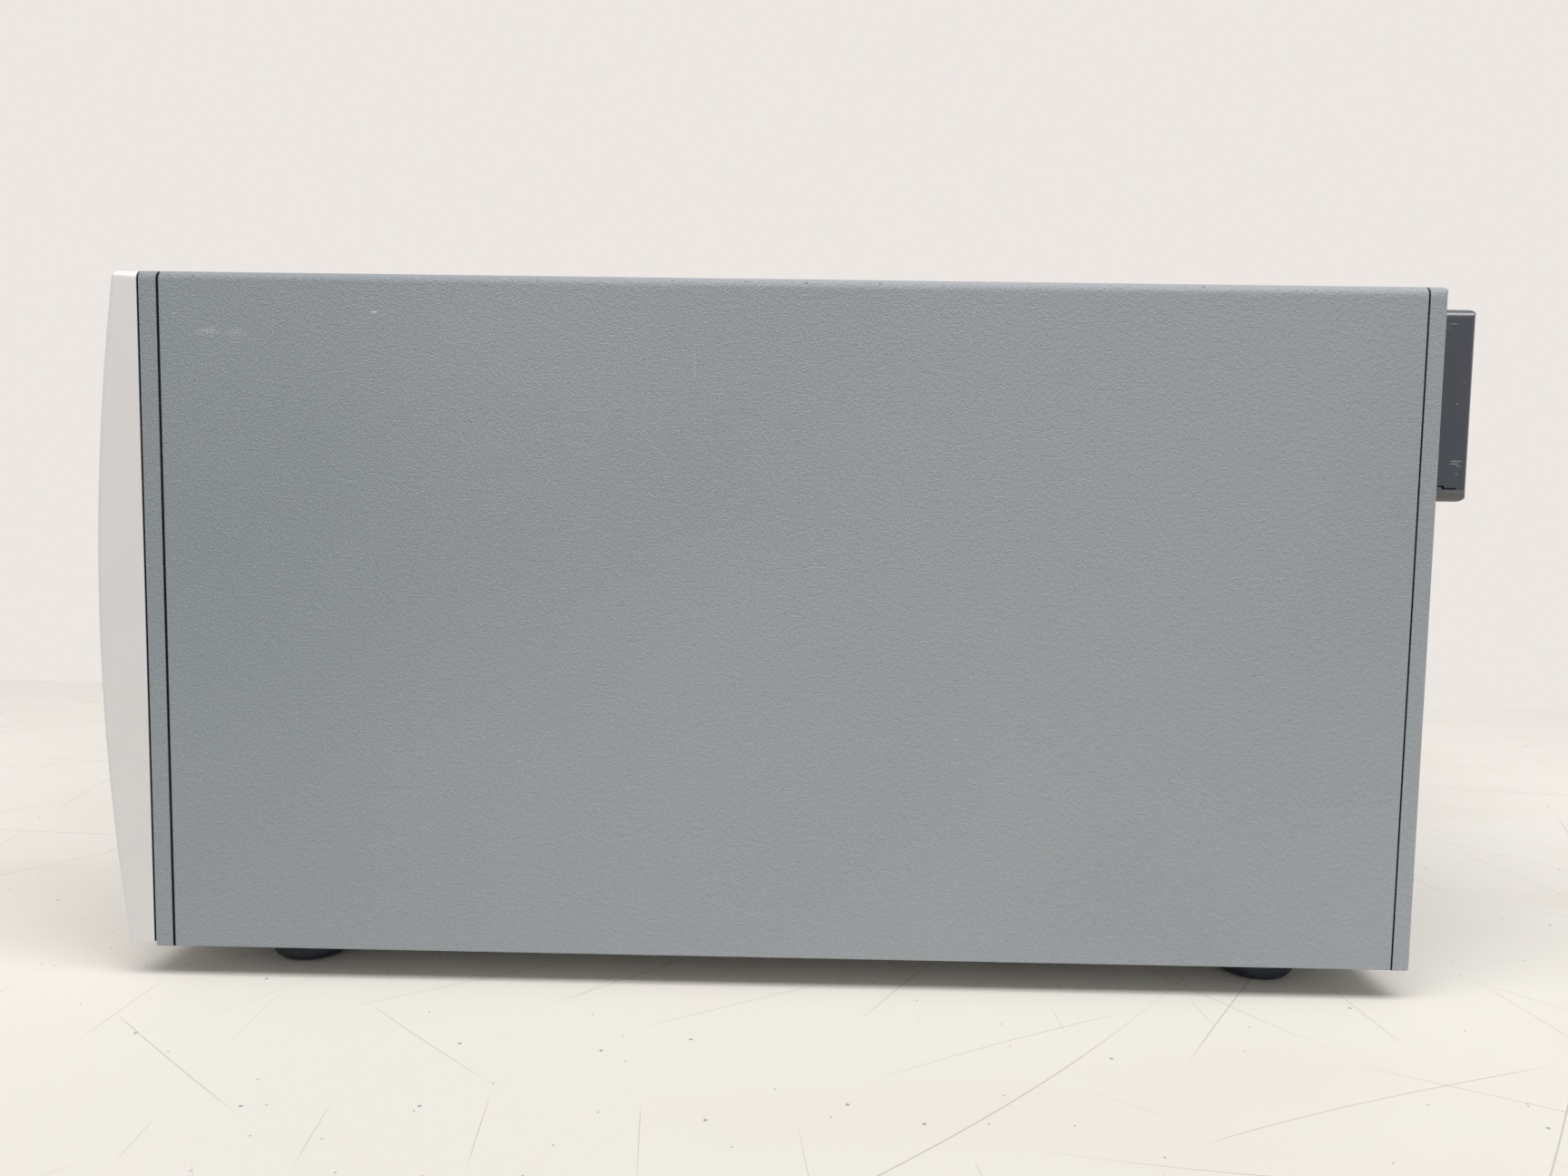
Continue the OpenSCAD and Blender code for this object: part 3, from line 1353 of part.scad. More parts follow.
// Wheel on its hub and shaft, with a ring of filters seated in stepped holes
module filter_wheel() {
    rim = 2;
    glass_t = 3;
    color(alloy) {
        difference() {
            bar_x(wheel_r, wheel_face_x, wheel_face_x + wheel_t, wheel_y, beam_z);
            for (i = [0 : filters - 1]) {
                a = 180 + i * 360 / filters;
                y = wheel_y + filter_pitch_r * cos(a);
                z = beam_z + filter_pitch_r * sin(a);
                bar_x(filter_r - 1, wheel_face_x - cut, wheel_face_x + wheel_t + cut, y, z);
                bar_x(filter_r, wheel_face_x + rim, wheel_face_x + wheel_t + cut, y, z);
            }
        }
        bar_x(6, wheel_face_x - 2, wheel_face_x + 1, wheel_y, beam_z);
        bar_x(stud_r, motor_face_x - 12, wheel_face_x, wheel_y, beam_z);
        for (i = [0 : filters - 1]) {
            a = 180 + i * 360 / filters;
            bar_x(filter_r, wheel_face_x + rim, wheel_face_x + rim + glass_t,
                wheel_y + filter_pitch_r * cos(a), beam_z + filter_pitch_r * sin(a));
        }
    }
}

module excitation_wheel() filter_wheel();

module emission_wheel() mirror([1, 0, 0]) filter_wheel();

module wheel_motors() {
    color(black) for (s = [0, 1]) mirror([s, 0, 0]) difference() {
        union() {
            block([motor_face_x - wheel_motor_l, wheel_y - wheel_motor_s / 2, beam_z - wheel_motor_s / 2],
                [motor_face_x, wheel_y + wheel_motor_s / 2, beam_z + wheel_motor_s / 2]);
            block([motor_face_x - wheel_motor_l, wheel_y - wheel_motor_s / 2, upper_top],
                [motor_face_x - wheel_motor_l + bracket_t, wheel_y + wheel_motor_s / 2, beam_z]);
            block([motor_face_x - bracket_t, wheel_y - wheel_motor_s / 2, upper_top],
                [motor_face_x, wheel_y + wheel_motor_s / 2, beam_z]);
        }
        bar_x(stud_r + run_gap, motor_face_x - wheel_motor_l / 2, motor_face_x + cut, wheel_y, beam_z);
    }
}

// Dichroic cube on its foot, with a light tube to each wheel and an objective above the plate
module optics_block() {
    half = cube_s / 2;
    foot_t = 6;
    stem_half = 22;
    objective_wall = 4;
    color(black) difference() {
        union() {
            mid_block([0, optic_y, beam_z], [cube_s, cube_s, cube_s]);
            block([-half, optic_y - half, upper_top], [half, optic_y + half, upper_top + foot_t]);
            block([-stem_half, optic_y - stem_half, upper_top], [stem_half, optic_y + stem_half, beam_z]);
            bar_z(objective_r, objective_low, beam_z, 0, optic_y);
            bar_x(tube_r, wheel_room - wheel_face_x, wheel_face_x - wheel_room, optic_y, beam_z);
        }
        bar_x(beam_r, -wheel_x, wheel_x, optic_y, beam_z);
        bar_z(objective_r - objective_wall, objective_low - cut, beam_z, 0, optic_y);
    }
}

// Lamp house with cooling slots above and a nozzle towards the excitation wheel
module flash_lamp() {
    house_l = 80;
    house_half = 23;
    house_up = 26;
    slot = [3, 34, 8];
    slots = 7;
    slot_pitch = 8;
    x0 = nozzle_x + nozzle_l - 2;
    color(steel) difference() {
        union() {
            block([x0, optic_y - house_half, upper_top],
                [x0 + house_l, optic_y + house_half, beam_z + house_up]);
            bar_x(tube_r, nozzle_x, nozzle_x + nozzle_l, optic_y, beam_z);
        }
        bar_x(beam_r, nozzle_x - cut, nozzle_x + 30, optic_y, beam_z);
        for (i = [0 : slots - 1]) mid_block([x0 + 22 + i * slot_pitch, optic_y, beam_z + house_up], slot);
    }
}

// Photomultiplier housing behind the emission wheel, and the absorbance cell under the plate
module detectors() {
    tube_l = 72;
    house_r = 20;
    cell_r = 14;
    cell_room = 5;
    x0 = nozzle_x + nozzle_l - 2;
    color(black) mirror([1, 0, 0]) {
        difference() {
            union() {
                block([x0, optic_y - house_r, upper_top], [x0 + tube_l, optic_y + house_r, beam_z]);
                bar_x(house_r, x0, x0 + tube_l, optic_y, beam_z);
                bar_x(tube_r, nozzle_x, nozzle_x + nozzle_l, optic_y, beam_z);
            }
            bar_x(beam_r, nozzle_x - cut, nozzle_x + 30, optic_y, beam_z);
        }
        difference() {
            bar_z(cell_r, deck_top, tray_z - cell_room, 0, optic_y);
            bar_z(beam_r, deck_top + 8, tray_z, 0, optic_y);
        }
    }
}

// ---------- assembly ----------
front_frame();
rear_panel();
base_pan();
top_cover();
front_fascia();
fascia_gasket();
cover_seals();
tie_rods();
casing_screws();
fascia_screws();
foot(0);  // foot_front_left
foot(1);  // foot_front_right
foot(2);  // foot_rear_left
foot(3);  // foot_rear_right
foot_screws();
plate_door();
door_hinge_pin();
door_seal();
load_button();
status_light_pipe();
front_board();
fan_housing();
fan_rotor();
filter_hood();
filter_foam();
fan_guard();
fan_screws();
power_inlet();
inlet_pins();
power_rocker();
power_supply();
main_board();
usb_port();
serial_port();
lower_deck();
deck_posts();
x_rails();
x_rail_blocks();
front_crossbar();
rear_crossbar();
x_bushes();
y_rails();
plate_carrier();
y_bushes();
plate_clamp();
x_motor();
x_drive_pulley();
x_idler();
x_belt();
y_motor();
y_drive_pulley();
y_idler();
y_belt();
upper_deck();
flash_lamp();
excitation_wheel();
emission_wheel();
wheel_motors();
optics_block();
detectors();
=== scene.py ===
"""Looks of the bench microplate reader: finishes, softened edges and small fittings round the CAD frame."""
import json
import math

import bmesh
import bpy
from mathutils import Euler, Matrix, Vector

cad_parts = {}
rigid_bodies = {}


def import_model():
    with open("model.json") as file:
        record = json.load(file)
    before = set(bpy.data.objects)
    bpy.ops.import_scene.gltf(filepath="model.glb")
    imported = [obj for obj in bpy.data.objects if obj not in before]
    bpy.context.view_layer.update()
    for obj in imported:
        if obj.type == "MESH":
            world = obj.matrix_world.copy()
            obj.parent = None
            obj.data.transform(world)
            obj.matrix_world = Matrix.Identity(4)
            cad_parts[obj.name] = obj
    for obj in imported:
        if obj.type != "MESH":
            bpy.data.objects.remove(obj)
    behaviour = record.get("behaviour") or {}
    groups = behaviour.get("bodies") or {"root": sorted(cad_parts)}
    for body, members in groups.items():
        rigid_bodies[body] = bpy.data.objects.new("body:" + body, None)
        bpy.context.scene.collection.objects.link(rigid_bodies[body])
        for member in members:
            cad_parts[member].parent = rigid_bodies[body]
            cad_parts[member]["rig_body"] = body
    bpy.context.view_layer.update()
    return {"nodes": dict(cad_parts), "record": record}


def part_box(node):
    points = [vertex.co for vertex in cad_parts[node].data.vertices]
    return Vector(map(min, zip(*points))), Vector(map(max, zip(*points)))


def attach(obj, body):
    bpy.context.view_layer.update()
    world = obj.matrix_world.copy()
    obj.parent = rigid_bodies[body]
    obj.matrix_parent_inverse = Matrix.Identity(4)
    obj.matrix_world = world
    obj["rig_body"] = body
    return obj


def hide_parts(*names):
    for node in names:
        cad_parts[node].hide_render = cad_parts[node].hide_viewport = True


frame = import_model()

MM = 0.001
NODES = frame["nodes"]
SLOT_OF = {part["node"]: part["material_slot"] for part in frame["record"]["subparts"]}


# ---------- shader kit ----------
def rgb(red, green, blue):
    """Linear colour of a paint chip given as 0 to 255 screen values."""
    chip = [value / 255 for value in (red, green, blue)]
    return tuple(v / 12.92 if v <= 0.04045 else ((v + 0.055) / 1.055) ** 2.4 for v in chip) + (1.0,)


class Signal:
    """One socket of a material. The usual operators on it add Math nodes."""

    def __init__(self, finish, socket):
        self.finish = finish
        self.socket = socket

    def math(self, operation, *values):
        return self.finish.node("ShaderNodeMath", {"operation": operation}, dict(enumerate(values)))

    def __add__(self, other):
        return self.math("ADD", self, other)

    def __radd__(self, other):
        return self.math("ADD", other, self)

    def __sub__(self, other):
        return self.math("SUBTRACT", self, other)

    def __rsub__(self, other):
        return self.math("SUBTRACT", other, self)

    def __mul__(self, other):
        return self.math("MULTIPLY", self, other)

    def __rmul__(self, other):
        return self.math("MULTIPLY", other, self)

    def __gt__(self, other):
        return self.math("GREATER_THAN", self, other)

    def __lt__(self, other):
        return self.math("LESS_THAN", self, other)

    def wave(self):
        return self.math("SINE", self)

    def size(self):
        return self.math("ABSOLUTE", self)

    def rise(self, low, high):
        """0 below low, 1 above high, and a smooth step between."""
        spans = {0: self, 1: low, 2: high, 3: 0.0, 4: 1.0}
        return self.finish.node("ShaderNodeMapRange", {"interpolation_type": "SMOOTHSTEP"}, spans)


class Finish:
    """One material: a Principled shader, and the nodes that feed it."""

    def __init__(self, name, **constants):
        self.material = bpy.data.materials.new(name)
        self.material.use_nodes = True
        self.tree = self.material.node_tree
        self.shader = self.tree.nodes["Principled BSDF"]
        self.place = self.node("ShaderNodeTexCoord", output="Object")
        self.feed(self.shader, {key.replace("_", " "): value for key, value in constants.items()})

    def feed(self, node, sockets):
        for key, value in sockets.items():
            if isinstance(value, Signal):
                self.tree.links.new(value.socket, node.inputs[key])
            else:
                node.inputs[key].default_value = value

    def node(self, kind, settings=None, sockets=None, output=0):
        """Adds a node: its settings first, then the values or links of its sockets."""
        made = self.tree.nodes.new(kind)
        for key, value in (settings or {}).items():
            setattr(made, key, value)
        self.feed(made, sockets or {})
        return Signal(self, made.outputs[output])

    def mix(self, share, first, second):
        """Colour that goes from first to second as share goes from 0 to 1."""
        return self.node("ShaderNodeMix", {"data_type": "RGBA"}, {0: share, 6: first, 7: second}, 2)

    def axes(self):
        """The three coordinates of the point, in metres."""
        return [self.node("ShaderNodeSeparateXYZ", None, {0: self.place}, axis) for axis in range(3)]

    def stretch(self, x, y, z, turn=(0, 0, 0)):
        """The point's coordinates scaled along each axis, for a grain or a brushed line."""
        sockets = {"Vector": self.place, "Scale": (x, y, z), "Rotation": turn}
        return self.node("ShaderNodeMapping", None, sockets)

    def noise(self, scale, detail=2.0, place=None):
        sockets = {"Vector": place or self.place, "Scale": scale, "Detail": detail}
        return self.node("ShaderNodeTexNoise", None, sockets)

    def cells(self, scale, output="Distance", feature="F1", place=None, span="3D"):
        settings = {"feature": feature, "voronoi_dimensions": span}
        sockets = {"Vector": place or self.place, "Scale": scale}
        return self.node("ShaderNodeTexVoronoi", settings, sockets, output)

    def dots(self, scale, radius, share, span="3D"):
        """Round spots of that radius in metres, in a share of the cells, 1 at their centres."""
        pick = self.node("ShaderNodeSeparateColor", None, {0: self.cells(scale, "Color", span=span)})
        near = self.cells(scale, span=span).rise(0.3 * radius * scale, radius * scale)
        return (1 - near) * (pick < share)

    def mark(self, centre, reach):
        """One soft mark on the surface: 1 at its centre, 0 beyond its reach along each axis."""
        away = self.node("ShaderNodeVectorMath", {"operation": "SUBTRACT"}, {0: self.place, 1: centre})
        scaled = self.node("ShaderNodeVectorMath", {"operation": "DIVIDE"}, {0: away, 1: reach})
        length = self.node("ShaderNodeVectorMath", {"operation": "LENGTH"}, {0: scaled}, "Value")
        return 1 - length.rise(0.35, 1.0)

    def scratches(self, scale, length, share, turn=(0, 0, 0), width=0.02):
        """Fine lines, longer than wide, in a share of the surface."""
        lines = self.cells(scale, place=self.stretch(1, 1, 1 / length, turn))
        return (1 - lines.rise(0, width)) * self.noise(scale / 3).rise(1 - share, 1.1 - share)

    def bench_scratches(self, scale, width, turn):
        """A family of long thin cuts in a flat top, a little bent, each shown in a few stretches."""
        bent = self.noise(2.2, 0.0) * 0.10
        flat = self.stretch(1, 1, 0, (0, 0, turn))
        x, y = [self.node("ShaderNodeSeparateXYZ", None, {0: flat}, axis) for axis in range(2)]
        across = (x + y * 0.21 + bent) * scale
        away = (across - across.math("ROUND", across)).size()
        along = self.stretch(1, 0.25, 1, (0, 0, turn))
        shown = self.noise(0.62 * scale, 1.0, along).rise(0.52, 0.60)
        return (1 - away.rise(0, width * scale)) * shown

    def bump(self, height, depth, strength=1.0):
        """Relief from a height of 0 to 1, that many metres deep."""
        sockets = {"Height": height, "Distance": depth, "Strength": strength}
        return self.node("ShaderNodeBump", None, sockets)

    def wear(self, **outputs):
        """Sets what changes over the surface: Base_Color, Roughness, Normal and their like."""
        self.feed(self.shader, {key.replace("_", " "): value for key, value in outputs.items()})
        return self.material


# ---------- finishes ----------
# Outer face of the case's right-hand side
SIDE_X = 210 * MM
# Flaws in the paint of the right-hand side, in mm: y, z, half length, half height, and strength
PAINT_FLAWS = (
    (-33.4, 230.1, 0.4, 8.4, 0.30),
    (-149.0, 248.0, 1.7, 0.5, 0.80),
    (-89.0, 144.5, 0.7, 0.6, 0.60),
    (-209.0, 240.5, 6.0, 2.2, 0.22),
    (-199.0, 240.0, 5.2, 2.0, 0.18),
    (-221.5, 246.5, 1.2, 0.4, 0.55),
    (64.0, 96.0, 0.8, 0.6, 0.40),
)


def powder_coat(name, chip, shade):
    """Sheet-metal paint: fine grit with scattered pimples, pale flecks and a few dull scratches.

    It is calmer low down. Painted light makes it paler low down, painted shade makes it darker at the
    front, and painted highlights lie along the upper bend and on the pimple tips."""
    coat = Finish(name, IOR=1.4)
    y, z = coat.axes()[1:]
    grit = coat.noise(1500, 2.0)
    swell = coat.noise(620, 1.0)
    pimples = coat.dots(330, 0.0007, 0.14)
    patches = coat.noise(38, 2.0).rise(0.48, 0.66)
    flecks = coat.dots(480, 0.0004, 0.22) * patches
    chips = coat.dots(9, 0.0007, 0.14)
    rubbed = coat.scratches(26, 14, 0.30, width=0.012)
    cloud = coat.noise(5, 2.0).rise(0.3, 0.7)
    front_painted_shade = 1 - y.rise(-0.235, -0.03)
    # Painted light: a band low down where the paint is made paler. The same band also calms the grit there
    low_down_painted_light = 1 - z.rise(0.05, 0.19)
    calm = 1 - (low_down_painted_light + y.rise(0.0, 0.2)) * 0.3
    # Random cloud and painted shade, darker towards the front, both mix towards the shade colour
    tone = coat.mix(cloud * 0.35 + front_painted_shade * 0.65, chip, shade)
    # Painted highlight along the upper bend of the sheet
    bend_painted_highlight = z.rise(0.2572, 0.2592) * y.rise(-0.16, 0.0)
    # The painted light low down and the painted highlight on the bend both mix towards this pale grey
    tone = coat.mix(low_down_painted_light * 0.12 + bend_painted_highlight * 0.16, tone, rgb(204, 205, 206))
    tone = coat.mix(grit.rise(0.48, 0.74) * calm * 0.20, tone, rgb(214, 217, 221))
    # The pimples term is a painted highlight on the pimple tips. The flecks, chips and rubbed scratches are
    # real marks
    specks = flecks * 0.25 + pimples * 0.14 + chips * 0.5 + rubbed * 0.2
    tone = coat.mix(specks, tone, rgb(226, 227, 228))
    flaws = sum(
        coat.mark((SIDE_X, along * MM, up * MM), (3 * MM, long * MM, tall * MM)) * strength
        for along, up, long, tall, strength in PAINT_FLAWS
    )
    broken = coat.noise(1100, 1.0).rise(0.38, 0.58)
    tone = coat.mix(flaws * broken, tone, rgb(222, 224, 226))
    height = grit * calm + swell * 0.45 + pimples * 0.8 + flecks * 0.5
    return coat.wear(
        Base_Color=tone,
        Roughness=0.44 + grit * 0.16 - rubbed * 0.12,
        Normal=coat.bump(height, 0.00062, 1.0),
    )


def satin_silver(name):
    """Silver lacquer on a moulding: metal flake under a satin face."""
    lacquer = Finish(name, Metallic=0.35, Coat_Weight=0.1, Coat_Roughness=0.4)
    flake = lacquer.noise(2600, 1.0)
    swirl = lacquer.noise(34, 2.0)
    nicks = lacquer.dots(16, 0.0007, 0.10)
    tone = lacquer.mix(flake.rise(0.3, 0.7) * 0.5 + swirl * 0.3, rgb(216, 216, 217), rgb(226, 225, 226))
    tone = lacquer.mix(nicks * 0.7, tone, rgb(120, 118, 116))
    return lacquer.wear(
        Base_Color=tone,
        Roughness=0.46 + flake * 0.10 + swirl * 0.05,
        Normal=lacquer.bump(flake * 0.4 + swirl, 0.00004, 0.5),
    )


def closed_cell_foam(name, chip, cell):
    """Foam with open cut cells of that size in metres, their hollows painted near black as shade."""
    foam = Finish(name, Specular_IOR_Level=0.2)
    cells = foam.cells(1 / cell)
    holes = cells.rise(0.15, 0.6)
    # Painted shade: the middles of the cells are painted near black, as shade in the open hollows
    tone = foam.mix(holes, rgb(8, 8, 9), chip)
    return foam.wear(
        Base_Color=tone,
        Roughness=0.85 + holes * 0.1,
        Normal=foam.bump(holes + foam.noise(900) * 0.3, cell * 0.4, 0.8),
    )


def moulded_rubber(name):
    """Foot rubber: matt, with a grey bloom and dust on it."""
    rubber = Finish(name, Specular_IOR_Level=0.35)
    bloom = rubber.noise(110, 3.0)
    dust = rubber.dots(260, 0.0005, 0.2)
    tone = rubber.mix(bloom.rise(0.4, 0.8) * 0.6, rgb(42, 47, 56), rgb(72, 76, 83))
    tone = rubber.mix(dust * 0.5, tone, rgb(120, 120, 122))
    return rubber.wear(
        Base_Color=tone,
        Roughness=0.55 + bloom * 0.25,
        Normal=rubber.bump(bloom + rubber.noise(1200) * 0.4, 0.00012, 0.6),
    )


# Rub marks on the hood's near side, in mm: behind the panel, above its foot, half length and half height
RUB_MARKS = (
    (13.6, 15.0, 2.9, 0.40),
    (12.9, 14.0, 2.2, 0.35),
    (14.4, 13.2, 1.4, 0.30),
    (13.8, 10.3, 0.5, 0.45),
    (12.6, 36.0, 0.45, 0.40),
    (14.8, 44.0, 0.9, 0.25),
    (9.0, 65.2, 3.2, 0.30),
    (7.0, 63.6, 2.0, 0.25),
)
# The hood's lower strip, dull and painted pale as a reflection of the bench, ends softly between these
# heights above its lower edge
PAINTED_REFLECTION_LOW, PAINTED_REFLECTION_HIGH = 4.1 * MM, 4.5 * MM


def glossy_plastic(name, near, panel, low):
    """Polished black moulding: rub marks on its near side, and a dull strip along its lower edge, painted
    pale as a reflection of the bench.
    """
    gloss = Finish(name, Coat_Roughness=0.12)
    z = gloss.axes()[2]
    haze = gloss.noise(60, 3.0)
    scuffs = gloss.scratches(60, 8, 0.34, (0.9, 0.3, 0), 0.03)
    specks = gloss.dots(90, 0.0006, 0.10)
    lower_strip_painted_reflection = 1 - z.rise(low + PAINTED_REFLECTION_LOW, low + PAINTED_REFLECTION_HIGH)
    rubs = sum(
        gloss.mark((near, panel + behind * MM, low + up * MM), (2 * MM, long * MM, tall * MM))
        for behind, up, long, tall in RUB_MARKS
    )
    rubs = rubs * gloss.noise(900, 1.0, gloss.stretch(1, 0.3, 1.6)).rise(0.30, 0.55)
    tone = gloss.mix(haze * 0.4, rgb(34, 43, 59), rgb(46, 55, 71))
    # Painted reflection: the lower strip is painted pale grey for the bench seen in its rounded edge
    tone = gloss.mix(lower_strip_painted_reflection * 0.85, tone, rgb(104, 104, 103))
    tone = gloss.mix(scuffs * 0.25 + specks * 0.35 + rubs * 0.6, tone, rgb(166, 168, 170))
    return gloss.wear(
        Base_Color=tone,
        Roughness=0.26 + haze * 0.10 + scuffs * 0.3 + lower_strip_painted_reflection * 0.3,
        Coat_Weight=0.8 - lower_strip_painted_reflection * 0.6,
        Normal=gloss.bump(haze + scuffs * 0.3, 0.00003, 0.5),
    )


def etched_plastic(name, chip):
    """Spark-etched black plastic, as on a mains inlet or a fan."""
    plastic = Finish(name, Specular_IOR_Level=0.4)
    etch = plastic.noise(2300, 2.0)
    flow = plastic.noise(30, 1.0)
    tone = plastic.mix(flow * 0.5 + etch.rise(0.45, 0.75) * 0.3, chip, rgb(62, 63, 67))
    return plastic.wear(
        Base_Color=tone,
        Roughness=0.48 + etch * 0.2,
        Normal=plastic.bump(etch, 0.00006, 0.7),
    )


def zinc_plate(name):
    """Zinc-plated sheet: a cool grey metal with a spangle and a faint rolling grain."""
    zinc = Finish(name, Metallic=0.9)
    spangle = zinc.cells(85)
    grain = zinc.noise(900, 2.0, zinc.stretch(1, 0.05, 1))
    tone = zinc.mix(spangle.rise(0.1, 0.7), rgb(186, 190, 194), rgb(204, 206, 208))
    return zinc.wear(
        Base_Color=tone,
        Roughness=0.34 + spangle * 0.10 + grain * 0.10,
        Normal=zinc.bump(grain, 0.00002, 0.4),
    )


def ground_steel(name, axis):
    """Bright steel with fine grinding lines across the given axis, 0 to 2 for X to Z."""
    steel = Finish(name, Metallic=1.0)
    lines = steel.noise(3500, 2.0, steel.stretch(*[1 if axis == index else 0.06 for index in range(3)]))
    oil = steel.noise(45, 2.0)
    tone = steel.mix(oil, rgb(196, 199, 203), rgb(214, 216, 219))
    return steel.wear(
        Base_Color=tone,
        Roughness=0.16 + lines * 0.14 + oil * 0.06,
        Normal=steel.bump(lines, 0.00001, 0.4),
    )


def black_oxide(name):
    """Black socket screws, with scattered bright patches where the black is rubbed off."""
    oxide = Finish(name, Metallic=0.8)
    mottle = oxide.noise(420, 3.0)
    tone = oxide.mix(mottle.rise(0.62, 0.8), rgb(38, 38, 40), rgb(108, 108, 110))
    return oxide.wear(
        Base_Color=tone,
        Roughness=0.38 + mottle * 0.2,
        Normal=oxide.bump(mottle, 0.00003, 0.5),
    )


def turned_brass(name):
    """Turned brass or sintered bronze with fine tool rings."""
    brass = Finish(name, Metallic=1.0)
    rings = brass.noise(2400, 1.0, brass.stretch(1, 0.2, 0.2))
    tarnish = brass.noise(70, 3.0)
    tone = brass.mix(tarnish.rise(0.35, 0.8), rgb(214, 178, 104), rgb(168, 128, 66))
    return brass.wear(
        Base_Color=tone,
        Roughness=0.25 + rings * 0.15 + tarnish * 0.1,
        Normal=brass.bump(rings, 0.00002, 0.4),
    )


def solder_mask(name, board_top):
    """Green circuit board with copper tracks and pads. Whatever stands above its face is black plastic."""
    board = Finish(name, Coat_Weight=0.3, Coat_Roughness=0.25)
    z = board.axes()[2]
    tracks = board.cells(140, feature="DISTANCE_TO_EDGE").rise(0.03, 0.06)
    pads = board.dots(230, 0.0007, 0.4)
    raised = z > board_top
    tone = board.mix(tracks, rgb(58, 128, 84), rgb(22, 84, 52))
    tone = board.mix(pads, tone, rgb(196, 192, 176))
    parts = board.mix(board.noise(1200).rise(0.3, 0.8), rgb(30, 31, 33), rgb(44, 45, 48))
    return board.wear(
        Base_Color=board.mix(raised, tone, parts),
        Roughness=0.34 + raised * 0.22,
        Normal=board.bump(tracks * 0.6 + pads, 0.00005, 0.6),
    )


def milled_alloy(name):
    """Machined aluminium: cutter arcs and a soft clear-anodised sheen."""
    alloy = Finish(name, Metallic=1.0)
    arcs = alloy.noise(1100, 2.0, alloy.stretch(1, 0.08, 1, (0, 0, 0.4)))
    cloud = alloy.noise(26, 2.0)
    tone = alloy.mix(cloud, rgb(202, 203, 205), rgb(216, 217, 218))
    return alloy.wear(
        Base_Color=tone,
        Roughness=0.32 + arcs * 0.14 + cloud * 0.06,
        Normal=alloy.bump(arcs, 0.00003, 0.5),
    )


def black_anodise(name):
    """Black anodised or painted metal, slightly dusty."""
    black = Finish(name, Metallic=0.3)
    grain = black.noise(1500, 2.0)
    dust = black.noise(36, 3.0).rise(0.5, 0.8)
    tone = black.mix(dust * 0.3, rgb(30, 30, 33), rgb(70, 71, 74))
    return black.wear(
        Base_Color=tone,
        Roughness=0.42 + grain * 0.16 + dust * 0.1,
        Normal=black.bump(grain, 0.00004, 0.5),
    )


def belt_rubber(name):
    """Toothed belt: black rubber with a woven back."""
    belt = Finish(name, Specular_IOR_Level=0.3)
    x, y, z = belt.axes()
    weave = ((x * 5200).wave() * (y * 5200).wave() * (z * 5200).wave()).size()
    tone = belt.mix(weave, rgb(22, 22, 23), rgb(50, 50, 51))
    return belt.wear(
        Base_Color=tone,
        Roughness=0.7 + weave * 0.15,
        Normal=belt.bump(weave, 0.00008, 0.6),
    )


def light_guide(name):
    """Clear moulded light pipe with a frosted face."""
    guide = Finish(name, Transmission_Weight=0.55, IOR=1.49)
    frost = guide.noise(1400, 2.0)
    return guide.wear(
        Base_Color=guide.mix(frost, rgb(206, 214, 208), rgb(232, 238, 232)),
        Roughness=0.28 + frost * 0.2,
        Normal=guide.bump(frost, 0.00003, 0.4),
    )


BOARD_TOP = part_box("usb_port")[0].z + 0.02 * MM
HOOD_LOW, HOOD_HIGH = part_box("filter_hood")
PANEL_Y = HOOD_LOW.y
PAINT = rgb(155, 160, 166)
# Darker tone of the paint: its random clouding and the painted shade at the front mix towards it
PAINT_SHADE = rgb(137, 145, 151)
FINISHES = {
    "casing_paint": powder_coat("powder_coat_grey", PAINT, PAINT_SHADE),
    "zinc_steel": zinc_plate("zinc_plated_sheet"),
    "silver_moulding": satin_silver("satin_silver_lacquer"),
    "black_foam": closed_cell_foam("black_cell_foam", rgb(24, 24, 27), 0.0007),
    "black_rubber": moulded_rubber("foot_rubber"),
    "bright_steel": ground_steel("ground_steel", 1),
    "black_steel": black_oxide("black_oxide_steel"),
    "black_plastic": etched_plastic("etched_black_plastic", rgb(38, 39, 42)),
    "gloss_black": glossy_plastic("polished_black_plastic", HOOD_HIGH.x, PANEL_Y, HOOD_LOW.z),
    "brass": turned_brass("turned_brass"),
    "circuit_board": solder_mask("green_circuit_board", BOARD_TOP),
    "aluminium": milled_alloy("milled_aluminium"),
    "black_anodised": black_anodise("black_anodised_metal"),
    "belt_rubber": belt_rubber("toothed_belt_rubber"),
    "light_pipe": light_guide("frosted_light_pipe"),
}


# ---------- mesh kit ----------
MERGE = 0.002 * MM
FLAT = math.radians(0.4)
SHARP = math.radians(34)


def plain_mesh(piece):
    """Applies a piece's modifiers, so that it is one plain mesh at the origin."""
    bpy.context.view_layer.update()
    finished = piece.evaluated_get(bpy.context.evaluated_depsgraph_get())
    mesh = bpy.data.meshes.new_from_object(finished)
    mesh.name = piece.name
    piece.modifiers.clear()
    piece.data = mesh
    return piece


def new_piece(name, mesh):
    piece = bpy.data.objects.new(name, mesh)
    bpy.context.scene.collection.objects.link(piece)
    return piece


def mark_edges(bm):
    """Smooth faces, with the edges sharper than SHARP kept crisp."""
    for face in bm.faces:
        face.smooth = True
    for edge in bm.edges:
        edge.smooth = edge.is_manifold and edge.calc_face_angle(0.0) < SHARP


def even_normals(piece):
    """Keeps large faces flat beside their rounded edges."""
    level = piece.modifiers.new("flats", "WEIGHTED_NORMAL")
    level.keep_sharp = True


